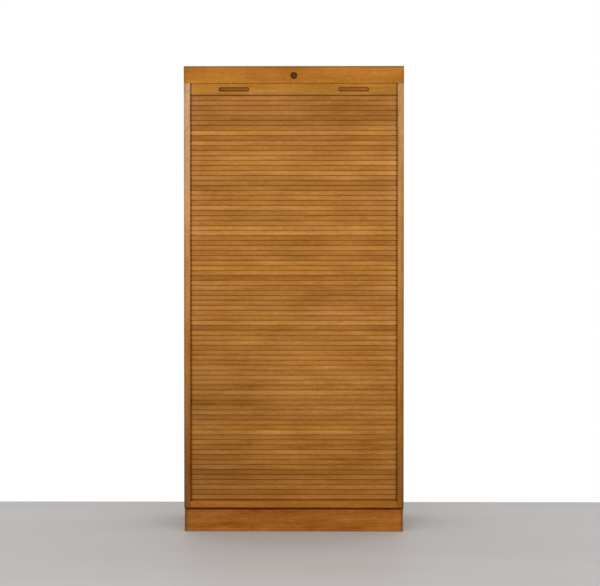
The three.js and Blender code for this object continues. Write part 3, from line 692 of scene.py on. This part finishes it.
def plinth_marks(g, colour, x, y, z):
    """Painted shade on the lip in the shadow gap and on the ends, and scuffs near the floor"""
    # Painted shade on the plinth's lip in the shadow gap
    colour = g.mark(g.range(z, *PLINTH_LIP), colour, LIP_SHADE)
    # Painted shade at the plinth's ends
    ends = g.times(g.range(g.unsigned(x), *PLINTH_ENDS), g.range(y, *PLINTH_FRONT))
    colour = g.mark(ends, colour, PLINTH_ENDS_SHADE)
    scuff = g.times(g.range(z, *PLINTH_FOOT), g.noise(g.combine(x, y, z), *SCUFF_FIELD))
    return g.mark(scuff, colour, *SCUFF_PALE)


def bottom_rail_marks(g, colour, _x, _y, z):
    """Painted shade along the lower arris, by the shadow gap"""
    return g.mark(g.range(z, *BOTTOM_RAIL_LOW), colour, BOTTOM_RAIL_SHADE)


def stile_marks(g, colour, x, y, z):
    """Painted shade on the front edge's outer arris, darker lower down, and in the front of the groove"""
    side = g.unsigned(x)
    # Painted shade on the outer arris, stronger lower down
    rim = g.times(g.range(side, *STILE_RIM), g.range(y, *STILE_FRONT))
    colour = g.mark(g.times(rim, g.range(z, *STILE_HEIGHT)), colour, STILE_RIM_SHADE)
    # Painted shade in the front of the groove
    groove = g.times(g.range(side, *GROOVE_WALL), g.range(y, *GROOVE_MOUTH))
    groove = g.times(groove, g.range(y, *GROOVE_REAR))
    return g.mark(groove, colour, GROOVE_SHADE)


def slat_marks(g, colour, x, _y, z):
    """Painted shade low at the left, painted light at the ends up high, painted shade on the tongues"""
    side = g.unsigned(x)
    # Painted shade on the lower left corner
    corner = g.times(g.range(x, *CORNER_SIDE), g.range(z, *CORNER_HEIGHT))
    colour = g.mark(corner, colour, CORNER_SHADE)
    # Painted light at the slats' ends, falling off lower down
    rubbed = g.times(g.range(side, *SLAT_ENDS), g.range(z, *SLAT_ENDS_HEIGHT))
    colour = g.mark(rubbed, colour, *SLAT_ENDS_PALE)
    # Painted shade on the tongues in the groove, stronger lower down
    tongue_shade = g.times(g.range(side, *TONGUES), g.range(z, *TONGUES_HEIGHT))
    return g.mark(tongue_shade, colour, TONGUE_SHADE)


def canvas_cloth(name):
    """Coarse undyed canvas with glue stains"""
    material, g = new_graph(name)
    x, y, z = object_axes(g)
    place = g.combine(x, y, z)
    thread = 2 * math.pi / THREAD_PITCH
    weave = g.times(g.math("SINE", g.times(x, thread)), g.math("SINE", g.times(z, thread)))
    stain = g.range(g.noise(place, *STAIN_FIELD), *STAINS)
    colour = g.mix(stain, (*linear(*CANVAS_PALE), 1.0), (*linear(*CANVAS_STAINED), 1.0))
    slub = g.math("MULTIPLY_ADD", g.noise(place, *SLUB_FIELD), *SLUB_TONE)
    value = g.math("MULTIPLY_ADD", weave, WEAVE_TONE, slub)
    g.surface(Base_Color=g.vector("MULTIPLY", colour, g.grey(value)), Roughness=0.9,
              Specular_IOR_Level=0.15, Sheen_Weight=0.15, Normal=g.bump(weave, strength=0.5, distance=0.0003))
    return material


def metal(name, dark, bright, seed, roughness, rub_scale):
    """Aged metal: a mottled patina, fine rubbing marks and brighter arrises"""
    material, g = new_graph(name)
    place = g.vector("ADD", object_place(g), tuple(seed * shift for shift in PATINA_SHIFT))
    mottle = g.noise(place, *PATINA_FIELD)
    rubs = g.noise(place, rub_scale, detail=3.0, roughness=0.6)
    share = g.range(g.math("MULTIPLY_ADD", rubs, RUB_SHARE, g.times(mottle, MOTTLE_SHARE)), *BRIGHT)
    arris = g.times(g.attribute("arris"), g.range(mottle, *BRIGHT_ARRIS))
    share = g.math("MAXIMUM", share, arris)
    colour = g.mix(share, (*linear(*dark), 1.0), (*linear(*bright), 1.0))
    shine = g.math("MULTIPLY_ADD", g.minus(mottle, share), PATINA_ROUGHNESS, roughness)
    relief = g.bump(g.math("ADD", mottle, rubs), strength=0.2, distance=0.0001)
    g.surface(Base_Color=colour, Metallic=0.9, Roughness=shine, Normal=relief)
    return material


def finish_mesh(bm, name, materials, body, stands_for, sharp=SHARP_ANGLE):
    """Turns a bmesh into a smooth-shaded piece that rides on its body"""
    bm.normal_update()
    for face in bm.faces:
        face.smooth = True
    for edge in bm.edges:
        edge.smooth = edge.is_manifold and edge.calc_face_angle() < sharp
    mesh = bpy.data.meshes.new(name)
    bm.to_mesh(mesh)
    bm.free()
    for material in materials:
        mesh.materials.append(material)
    piece = bpy.data.objects.new(name, mesh)
    scene.collection.objects.link(piece)
    weighted = piece.modifiers.new("weighted_normals", "WEIGHTED_NORMAL")
    weighted.keep_sharp = True
    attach(piece, body)
    if stands_for:
        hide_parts(*stands_for)


def mark_ends(bm, grain):
    """Marks the faces that cut the grain"""
    bm.normal_update()
    layer = bm.loops.layers.float.new("end")
    for face in bm.faces:
        share = 1.0 if grain and abs(face.normal.dot(AXES[grain])) > END_FACE else 0.0
        for loop in face.loops:
            loop[layer] = share


def dressed(node, name, material, grain, arris, body=CARCASS):
    """Copy of a CAD node with its arrises eased, which stands for that node"""
    bm = bmesh.new()
    bm.from_mesh(nodes[node].data)
    bmesh.ops.remove_doubles(bm, verts=bm.verts, dist=WELD)
    bmesh.ops.dissolve_limit(bm, angle_limit=FLAT_ANGLE, verts=bm.verts, edges=bm.edges)
    bm.normal_update()
    edges = [edge for edge in bm.edges
             if edge.is_manifold and edge.is_convex and edge.calc_face_angle() > EASED_ANGLE
             and edge.calc_length() > EASED_LENGTH * arris]
    eased = bmesh.ops.bevel(bm, geom=edges, offset=arris, offset_type="OFFSET", segments=EASE_STEPS,
                            profile=0.5, affect="EDGES", clamp_overlap=True)
    layer = bm.loops.layers.float.new("arris")
    for face in eased["faces"]:
        for loop in face.loops:
            loop[layer] = 1.0
    mark_ends(bm, grain)
    finish_mesh(bm, name, [material], body, [node])


def bridge(bm, first, second, material=0):
    count = len(first)
    for i in range(count):
        j = (i + 1) % count
        cap(bm, (first[i], first[j], second[j], second[i]), material)


def cap(bm, ring, material=0):
    bm.faces.new(ring).material_index = material


def loft(bm, rings, material=0):
    """Closed solid through rings of points, with a flat face at both ends"""
    for first, second in zip(rings, rings[1:]):
        bridge(bm, first, second, material)
    cap(bm, rings[0][::-1], material)
    cap(bm, rings[-1], material)


def path_point(distance):
    """Place on the curtain's path: a point in Y and Z, the outward way and the onward way"""
    front_run = CURTAIN_TOP - BEND_Z
    turn = (distance - front_run) / BEND_RADIUS
    if turn <= 0:
        return (CANVAS_Y, CURTAIN_TOP - distance), (-1.0, 0.0), (0.0, -1.0)
    bend_y = CANVAS_Y + BEND_RADIUS
    if turn < math.pi / 2:
        outward = (-math.cos(turn), -math.sin(turn))
        at = (bend_y + BEND_RADIUS * outward[0], BEND_Z + BEND_RADIUS * outward[1])
        return at, outward, (-outward[1], outward[0])
    onward = distance - front_run - BEND_RADIUS * math.pi / 2
    return (bend_y + onward, BEND_Z - BEND_RADIUS), (0.0, -1.0), (1.0, 0.0)


def on_slat(index, along, out):
    """Point in Y and Z on a slat, from the middle of its back: along the curtain and out of it"""
    at, outward, onward = path_point((index + 0.5) * PITCH)
    return (at[0] + along * onward[0] + out * outward[0],
            at[1] + along * onward[1] + out * outward[1])


def slat_profile():
    """Outline of a slat, with rounded front arrises and a slightly crowned face: along, out, fold share"""
    points = [(-SLAT_HALF, 0.0, 1.0), (-SLAT_HALF, 0.5 * SLAT_THICKNESS, 1.0)]
    for i in range(ARRIS_STEPS + 1):
        angle = math.pi / 2 * i / ARRIS_STEPS
        points.append((-SLAT_HALF + SLAT_EASE * (1 - math.cos(angle)),
                       SLAT_THICKNESS - SLAT_EASE * (1 - math.sin(angle)) - SLAT_CROWN,
                       1.0 - ARRIS_FOLD_DROP * i / ARRIS_STEPS))
    face = SLAT_HALF - SLAT_EASE
    for share, fold in CROWN_POINTS:
        points.append((face * share, SLAT_THICKNESS - SLAT_CROWN * share * share, fold))
    points.append((0.0, SLAT_THICKNESS, 0.0))
    return points + [(-along, out, fold) for along, out, fold in points[-2::-1]]


def add_slat(bm, index, layers):
    """Slat with its own tone and grain, edges that wander a little, and a tongue at each end"""
    spot = random.Random(SLAT_SEED + index)
    marks = {"tone": max(-TONE_LIMIT, min(TONE_LIMIT, spot.gauss(0, 1))),
             "warm": max(-WARM_LIMIT, min(WARM_LIMIT, spot.gauss(0, 1))),
             "shift": spot.uniform(-GRAIN_SHIFT, GRAIN_SHIFT)}
    waves = [(spot.uniform(*LONG_WAVES), spot.uniform(0, TURN),
              spot.uniform(*SHORT_WAVES), spot.uniform(0, TURN)) for _ in range(2)]
    inner = SHOULDER_X - END_EASE
    stations = [(-inner + 2 * inner * i / SLAT_SPANS, 0.0) for i in range(SLAT_SPANS + 1)]
    stations = [(-SHOULDER_X, END_EASE), *stations, (SHOULDER_X, END_EASE)]
    rings = []
    for x, inset in stations:
        ring = []
        for along, out, fold in slat_profile():
            long_wave, long_start, short_wave, short_start = waves[0 if along < 0 else 1]
            wander = LONG_WANDER * math.sin(x / long_wave * TURN + long_start)
            wander += SHORT_WANDER * math.sin(x / short_wave * TURN + short_start)
            edge = min(1.0, abs(along) / SLAT_HALF)
            moved = along + wander * edge - math.copysign(inset * edge, along)
            lowered = out - (inset if out > 0.5 * SLAT_THICKNESS else 0.0)
            vert = bm.verts.new((x, *on_slat(index, moved, lowered)))
            vert[layers["fold"]] = fold
            ring.append(vert)
        rings.append(ring)
    loft(bm, rings)
    for side in (-1, 1):
        rings += add_tongue(bm, index, side, layers)
    for ring in rings:
        for vert in ring:
            for key, value in marks.items():
                vert[layers[key]] = value


def add_tongue(bm, index, side, layers):
    """Thinned end of a slat, which stands in the groove"""
    half = SLAT_HALF * TONGUE_SHARE
    low, high = TONGUE_LIFT, TONGUE_LIFT + TONGUE_THICKNESS
    outline = [(-half, low), (-half, high - TONGUE_EASE), (-half + TONGUE_EASE, high),
               (half - TONGUE_EASE, high), (half, high - TONGUE_EASE), (half, low)]
    stations = ((SHOULDER_X - TONGUE_ROOT, 0.0), (TONGUE_END - TONGUE_EASE, 0.0), (TONGUE_END, TONGUE_EASE))
    rings = []
    for x, inset in stations:
        ring = []
        for along, out in outline:
            moved = along - math.copysign(inset, along)
            lowered = out - (inset if out > low else -inset)
            vert = bm.verts.new((side * x, *on_slat(index, moved, lowered)))
            vert[layers["fold"]] = TONGUE_FOLD
            ring.append(vert)
        rings.append(ring)
    loft(bm, rings)
    return rings


def add_canvas(bm, slats):
    """Strip of canvas behind the slats of a band"""
    outer = [on_slat(i, s, CANVAS_BED) for i in slats for s in (-SLAT_HALF, SLAT_HALF)]
    inner = [on_slat(i, s, -CANVAS_THICKNESS) for i in slats for s in (-SLAT_HALF, SLAT_HALF)]
    outline = outer + inner[::-1]
    loft(bm, [[bm.verts.new((x, y, z)) for y, z in outline] for x in (-CANVAS_X, CANVAS_X)], material=1)


def curtain_band(band, slat_oak, canvas):
    bm = bmesh.new()
    layers = {key: bm.verts.layers.float.new(key) for key in ("tone", "warm", "shift", "fold")}
    slats = range(band * SLATS_PER_BAND, (band + 1) * SLATS_PER_BAND)
    for index in slats:
        add_slat(bm, index, layers)
    add_canvas(bm, slats)
    bmesh.ops.recalc_face_normals(bm, faces=bm.faces)
    mark_ends(bm, "X")
    node = f"curtain_band_{band + 1:02d}"
    finish_mesh(bm, f"slats_{band + 1:02d}", [slat_oak, canvas], node, [node],
                SLAT_SHARP_ANGLE)


def ellipse(x, z, radius_x, radius_z, steps):
    turns = [2 * math.pi * i / steps for i in range(steps)]
    return [(x + radius_x * math.cos(turn), z + radius_z * math.sin(turn)) for turn in turns]


def circle(x, z, radius):
    return ellipse(x, z, radius, radius, CIRCLE_STEPS)


def arc_points(centre_r, centre_y, radius, start, end, steps=6):
    turns = [math.radians(start + (end - start) * i / steps) for i in range(steps + 1)]
    return [(centre_r + radius * math.cos(turn), centre_y + radius * math.sin(turn)) for turn in turns]


def escutcheon(bronze):
    """Turned ring: a flat foot, a rolled rim, a dished middle and a bore for the plug"""
    foot = FRONT_Y - 0.3 * MM
    roll, dish = foot - 1.35 * MM, foot - 1.2 * MM
    bore, reach = 4.95 * MM, 13.0 * MM
    worn_y, worn_reach = foot - 2.1 * MM, 12.7 * MM
    rim = arc_points(12.1 * MM, roll, 0.9 * MM, 0, -80)
    crest = arc_points(9.6 * MM, roll, 1.05 * MM, -75, -165)
    profile = [(bore, foot), (reach, foot), *rim, *crest, (7.6 * MM, dish), (5.3 * MM, dish),
               (bore, foot - 1.0 * MM)]
    bm = bmesh.new()
    layer = bm.verts.layers.float.new("arris")
    rings = []
    for i in range(TURNED_STEPS):
        turn = 2 * math.pi * i / TURNED_STEPS
        ring = []
        for radius, y in profile:
            vert = bm.verts.new((radius * math.cos(turn), y, LOCK_Z + radius * math.sin(turn)))
            if y < worn_y or radius > worn_reach:
                vert[layer] = 1.0
            ring.append(vert)
        rings.append(ring)
    for i in range(TURNED_STEPS):
        bridge(bm, rings[i], rings[(i + 1) % TURNED_STEPS])
    bmesh.ops.recalc_face_normals(bm, faces=bm.faces)
    finish_mesh(bm, "escutcheon_ring", [bronze], CARCASS, ["escutcheon"])


def moved_inward(points, distance):
    """Closed outline moved to its inside, with mitred corners. A negative distance widens it."""
    count = len(points)
    following = points[1:] + points[:1]
    area = sum(here[0] * there[1] - there[0] * here[1] for here, there in zip(points, following))
    turn = 1.0 if area > 0 else -1.0
    result = []
    for i in range(count):
        before = Vector(points[i]) - Vector(points[i - 1])
        after = Vector(following[i]) - Vector(points[i])
        n0 = Vector((-before.y, before.x)).normalized() * turn
        n1 = Vector((-after.y, after.x)).normalized() * turn
        move = (n0 + n1) / max(MITRE_LIMIT, 1 + n0.dot(n1)) * distance
        result.append((points[i][0] + move.x, points[i][1] + move.y))
    return result


def filled(bm, rings):
    """Flat face between an outer ring and the rings of its holes"""
    edges = []
    for ring in rings:
        for i, vert in enumerate(ring):
            other = ring[(i + 1) % len(ring)]
            edges.append(bm.edges.get((vert, other)) or bm.edges.new((vert, other)))
    bmesh.ops.triangle_fill(bm, use_beauty=True, use_dissolve=False, edges=edges)


def ring_at(bm, outline, y):
    return [bm.verts.new((x, y, z)) for x, z in outline]


def slab(bm, outline, holes, depth, top, bottom, ease, layer):
    """Plate of an outline in X and Z, with eased top edges and blind holes of one depth"""
    away = math.copysign(1.0, bottom - top)
    foot = ring_at(bm, outline, bottom)
    last = foot
    for i in range(EASE_STEPS + 1):
        angle = math.pi / 2 * i / EASE_STEPS
        inset, drop = ease * (1 - math.cos(angle)), ease * (1 - math.sin(angle))
        ring = ring_at(bm, moved_inward(outline, inset), top + away * drop)
        bridge(bm, last, ring)
        last = ring
        for vert in ring:
            vert[layer] = 1.0
    mouths = [last]
    hole_ease = min(ease, HOLE_EASE)
    for hole in holes:
        mouth = ring_at(bm, moved_inward(hole, -hole_ease), top)
        throat = ring_at(bm, hole, top + away * hole_ease)
        low = ring_at(bm, hole, top + away * depth)
        bridge(bm, mouth, throat)
        bridge(bm, throat, low)
        mouths.append(mouth)
        cap(bm, low)
    filled(bm, mouths)
    filled(bm, [foot])


def keyhole_outline():
    """Round top with a straight slot below it"""
    start = math.asin(KEYHOLE_HALF_SLOT / KEYHOLE_RADIUS)
    centre = LOCK_Z + KEYHOLE_RADIUS
    points = []
    for i in range(KEYHOLE_STEPS + 1):
        turn = start + (2 * math.pi - 2 * start) * i / KEYHOLE_STEPS
        points.append((KEYHOLE_RADIUS * math.sin(turn), centre - KEYHOLE_RADIUS * math.cos(turn)))
    low = centre - KEYHOLE_SLOT
    return points + [(-KEYHOLE_HALF_SLOT, low), (KEYHOLE_HALF_SLOT, low)]


def lock_plug(brass):
    """Oval head with its keyhole, which runs on into the fascia in place of the plug's hidden body"""
    seat = FRONT_Y - 1.8 * MM
    top, bottom = seat - 1.6 * MM, seat + 7.6 * MM - 0.2 * MM
    bm = bmesh.new()
    layer = bm.verts.layers.float.new("arris")
    slab(bm, ellipse(0.0, LOCK_Z, *PLUG_RADII, TURNED_STEPS), [keyhole_outline()], KEYHOLE_DEPTH,
         top, bottom, PLUG_EASE, layer)
    bmesh.ops.recalc_face_normals(bm, faces=bm.faces)
    finish_mesh(bm, "lock_plug_head", [brass], LOCK_BOLT, ["lock_plug"])


def back_screw_places():
    return [(side * BACK_SCREW_X, BACK_SCREW_LOW + i * BACK_SCREW_STEP)
            for side in (-1, 1) for i in range(BACK_SCREW_ROWS)]


def back_sheet(material):
    """Rear panel with blind, countersunk places for its screws"""
    low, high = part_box("back_panel")
    bm = bmesh.new()
    layer = bm.verts.layers.float.new("arris")
    outline = [(low.x, low.z), (high.x, low.z), (high.x, high.z), (low.x, high.z)]
    holes = [circle(x, z, BACK_SCREW + BACK_SCREW_SLACK) for x, z in back_screw_places()]
    slab(bm, outline, holes, BACK_SCREW_HOLE, high.y, low.y, BACK_PANEL_EASE, layer)
    bmesh.ops.recalc_face_normals(bm, faces=bm.faces)
    mark_ends(bm, "Z")
    finish_mesh(bm, "back_ply", [material], CARCASS, ["back_panel"])


def back_screws(steel):
    """Slotted screw heads, sunk a little under the rear panel's face"""
    spot = random.Random(BACK_SCREW_SEED)
    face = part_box("back_panel")[1].y - BACK_SCREW_SUNK
    bm = bmesh.new()
    layer = bm.verts.layers.float.new("arris")
    for x, z in back_screw_places():
        angle = spot.uniform(0, math.pi)
        along = Vector((math.cos(angle), math.sin(angle)))
        across = Vector((-along.y, along.x))
        corners = [along * a * SLOT_HALF[0] * MM + across * b * SLOT_HALF[1] * MM
                   for a, b in ((-1, -1), (1, -1), (1, 1), (-1, 1))]
        slot = [(x + corner.x, z + corner.y) for corner in corners]
        slab(bm, circle(x, z, BACK_SCREW), [slot], SLOT_DEPTH, face, face - BACK_SCREW_HEAD,
             BACK_SCREW_EASE, layer)
    bmesh.ops.recalc_face_normals(bm, faces=bm.faces)
    finish_mesh(bm, "back_screws", [steel], CARCASS, None)


# Outside boards, each with its own oak so that no two share their grain: material, colour, grain, seed,
# piece, slot, arris, and what else its oak has
PANEL = {"behind": SIDES, "staves": ("across", 0.134), "marks": stile_marks}
OUTSIDE = {
    "side_panel_left": ("oak_side_left", STILE_LEFT, "Z", 11, "side_board_left", "oak_stile", 0.0008, PANEL),
    "side_panel_right": ("oak_side_right", STILE_RIGHT, "Z", 12, "side_board_right", "oak_stile", 0.0008,
                         PANEL),
    "top_board": ("oak_top", (171, 112, 41), "X", 13, "top_oak", "oak_front", 0.0006,
                  {"staves": ("across", 0.126)}),
    "fascia": ("oak_fascia", (177, 111, 31), "X", 14, "fascia_oak", "oak_front", 0.0006,
               {"marks": fascia_marks}),
    "lead_rail": ("oak_lead_rail", (173, 113, 36), "X", 15, "lead_rail_oak", "oak_front", 0.0005,
                  {"marks": lead_rail_marks}),
    "bottom_rail": ("oak_bottom_rail", (161, 98, 32), "X", 16, "bottom_rail_oak", "oak_base", 0.0006,
                    {"marks": bottom_rail_marks}),
    "plinth_front": ("oak_plinth", PLINTH, "X", 17, "plinth_oak", "oak_base", 0.0006,
                     {"marks": plinth_marks, "contrast": 1.5}),
    "plinth_rear": ("oak_plinth_rear", (151, 97, 40), "X", 18, "plinth_rear_oak", "oak_base", 0.0008, {}),
}

# Inside boards: piece, grain, slot, sRGB colour, arris, and the staves that the board is joined from
SHELVES = 4
SOLID_STAVES = ("across", 0.11)
PLY_STAVES = ("through", 0.27)
INSIDE = {
    "floor_board": ("floor_oak", "X", "oak_inside", (190, 148, 92), 0.0008, SOLID_STAVES),
    "inner_back": ("inner_back_ply", "Z", "oak_sheet", (184, 142, 88), 0.0004, PLY_STAVES),
    "back_panel": ("back_ply", "Z", "oak_sheet", (178, 136, 84), 0.0004, PLY_STAVES),
    "dust_panel": ("dust_ply", "X", "oak_sheet", (170, 130, 82), 0.0004, None),
}
for level in range(1, SHELVES + 1):
    INSIDE[f"shelf_{level}"] = (f"shelf_oak_{level}", "X", "oak_inside", (190, 146, 90), 0.0010, SOLID_STAVES)
    for hand in ("left", "right"):
        INSIDE[f"cleat_{hand}_{level}"] = (f"cleat_oak_{hand}_{level}", "Y", "oak_inside", (176, 130, 76),
                                           0.0006, None)
for end in ("front", "rear"):
    for hand in ("left", "right"):
        INSIDE[f"rack_{end}_{hand}"] = (f"rack_oak_{end}_{hand}", "Z", "oak_inside", (170, 122, 66),
                                        0.0006, None)


def outside_boards():
    for node, (material, colour, grain, seed, piece, slot, arris, more) in OUTSIDE.items():
        wood = oak(material, colour, grain, seed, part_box(node), **more)
        dressed(node, piece, wood, grain, arris, LEAD_RAIL if node == LEAD_RAIL else CARCASS)


def inside_boards():
    for i, (node, (piece, grain, slot, colour, arris, staves)) in enumerate(INSIDE.items()):
        ply = slot == "oak_sheet"
        wood = oak(f"{piece}_wood", colour, grain, INSIDE_SEED + i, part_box(node),
                   contrast=PLY_CONTRAST if ply else SOLID_CONTRAST, ring=PLY_RING if ply else RING,
                   roughness=INSIDE_ROUGHNESS, gloss=INSIDE_GLOSS, staves=staves)
        if node == "back_panel":
            back_sheet(wood)
        else:
            dressed(node, piece, wood, grain, arris)


def build():
    slat_oak = oak("oak_slats", SLATS, "X", 19, slats=True, marks=slat_marks)
    canvas = canvas_cloth("canvas")
    bronze, brass, steel = [metal(name, *look) for name, look in METALS.items()]

    outside_boards()
    for band in range(BANDS):
        curtain_band(band, slat_oak, canvas)
    inside_boards()
    back_screws(steel)

    escutcheon(bronze)
    lock_plug(brass)
    dressed("hook_bolt", "hook_bolt_steel", steel, None, METAL_ARRIS, LOCK_BOLT)
    dressed("lock_case", "lock_case_steel", steel, None, METAL_ARRIS)
    dressed("strike_plate", "strike_plate_brass", brass, None, METAL_ARRIS, LEAD_RAIL)
    for node in nodes:
        if "screw" in node:
            nodes[node].data.materials.clear()
            nodes[node].data.materials.append(steel)


def camera():
    data = bpy.data.cameras.new("camera")
    data.sensor_width = SENSOR
    data.lens = SENSOR * CAMERA_DISTANCE / FRAME_WIDTH
    data.clip_start, data.clip_end = CLIP
    item = bpy.data.objects.new("camera", data)
    scene.collection.objects.link(item)
    level = math.cos(CAMERA_PITCH)
    back = Vector((level * math.sin(CAMERA_AZIMUTH), -level * math.cos(CAMERA_AZIMUTH),
                   math.sin(CAMERA_PITCH)))
    item.location = Vector((AIM_X, FRONT_Y, AIM_Z)) + back * CAMERA_DISTANCE
    item.rotation_euler = (math.pi / 2 - CAMERA_PITCH, 0.0, CAMERA_AZIMUTH)
    scene.camera = item


def lamp(name, place, aim, size, power):
    data = bpy.data.lights.new(name, "AREA")
    data.shape = "RECTANGLE"
    data.size, data.size_y = size
    data.energy = power
    item = bpy.data.objects.new(name, data)
    scene.collection.objects.link(item)
    item.location = place
    item.rotation_mode = "QUATERNION"
    item.rotation_quaternion = (Vector(aim) - Vector(place)).to_track_quat("-Z", "Y")


def seen_share(g):
    """1 for a ray from the camera, off gloss or through glass, and 0 for a ray that lights a surface"""
    path = g.add("LightPath")
    seen = g.math("MAXIMUM", path.outputs["Is Camera Ray"], path.outputs["Is Glossy Ray"])
    return g.math("MAXIMUM", seen, path.outputs["Is Transmission Ray"])


def world():
    """White where it is seen, and softer where it lights the object"""
    item = bpy.data.worlds.new("world")
    item.use_nodes = True
    g = Graph(item.node_tree)
    background = g.add("Background")
    background.inputs["Color"].default_value = WHITE
    strength = g.range(seen_share(g), 0.0, 1.0, WORLD_STRENGTH, 1.0, smooth=False)
    g.put(background.inputs["Strength"], strength)
    g.tree.links.new(background.outputs[0], g.add("OutputWorld").inputs[0])
    scene.world = item


def plane(name, corners, material):
    mesh = bpy.data.meshes.new(name)
    mesh.from_pydata(corners, [], [(0, 1, 2, 3)])
    mesh.materials.append(material)
    item = bpy.data.objects.new(name, mesh)
    scene.collection.objects.link(item)
    return item


def stage():
    """Pale floor, and a white wall that is clear from behind and lights nothing"""
    reach = STAGE_REACH
    floor, g = new_graph("floor")
    tone = g.range(g.noise(object_place(g), *FLOOR_FIELD), *FLOOR_TONE)
    colour = g.vector("MULTIPLY", linear(*FLOOR_COLOUR), g.grey(tone))
    g.surface(Base_Color=colour, Roughness=0.6, Specular_IOR_Level=0.2)
    plane("floor", [(-reach, -reach, 0), (reach, -reach, 0), (reach, reach, 0), (-reach, reach, 0)], floor)

    wall, g = new_graph("wall")
    glow = g.add("Emission")
    glow.inputs["Color"].default_value = WHITE
    clear = g.add("BsdfTransparent")
    backfacing = g.add("NewGeometry").outputs["Backfacing"]
    pick = g.fill(g.add("MixShader"), backfacing, glow.outputs[0], clear.outputs[0])
    g.tree.links.new(pick.outputs[0], g.add("OutputMaterial").inputs[0])
    corners = [(-reach, WALL_Y, 0), (reach, WALL_Y, 0), (reach, WALL_Y, reach), (-reach, WALL_Y, reach)]
    item = plane("wall", corners, wall)
    for ray in ("diffuse", "glossy", "transmission", "volume_scatter", "shadow"):
        setattr(item, f"visible_{ray}", False)


build()
stage()
world()
for title, settings in LAMPS.items():
    lamp(title, *settings)
camera()
scene.view_settings.view_transform = "Standard"
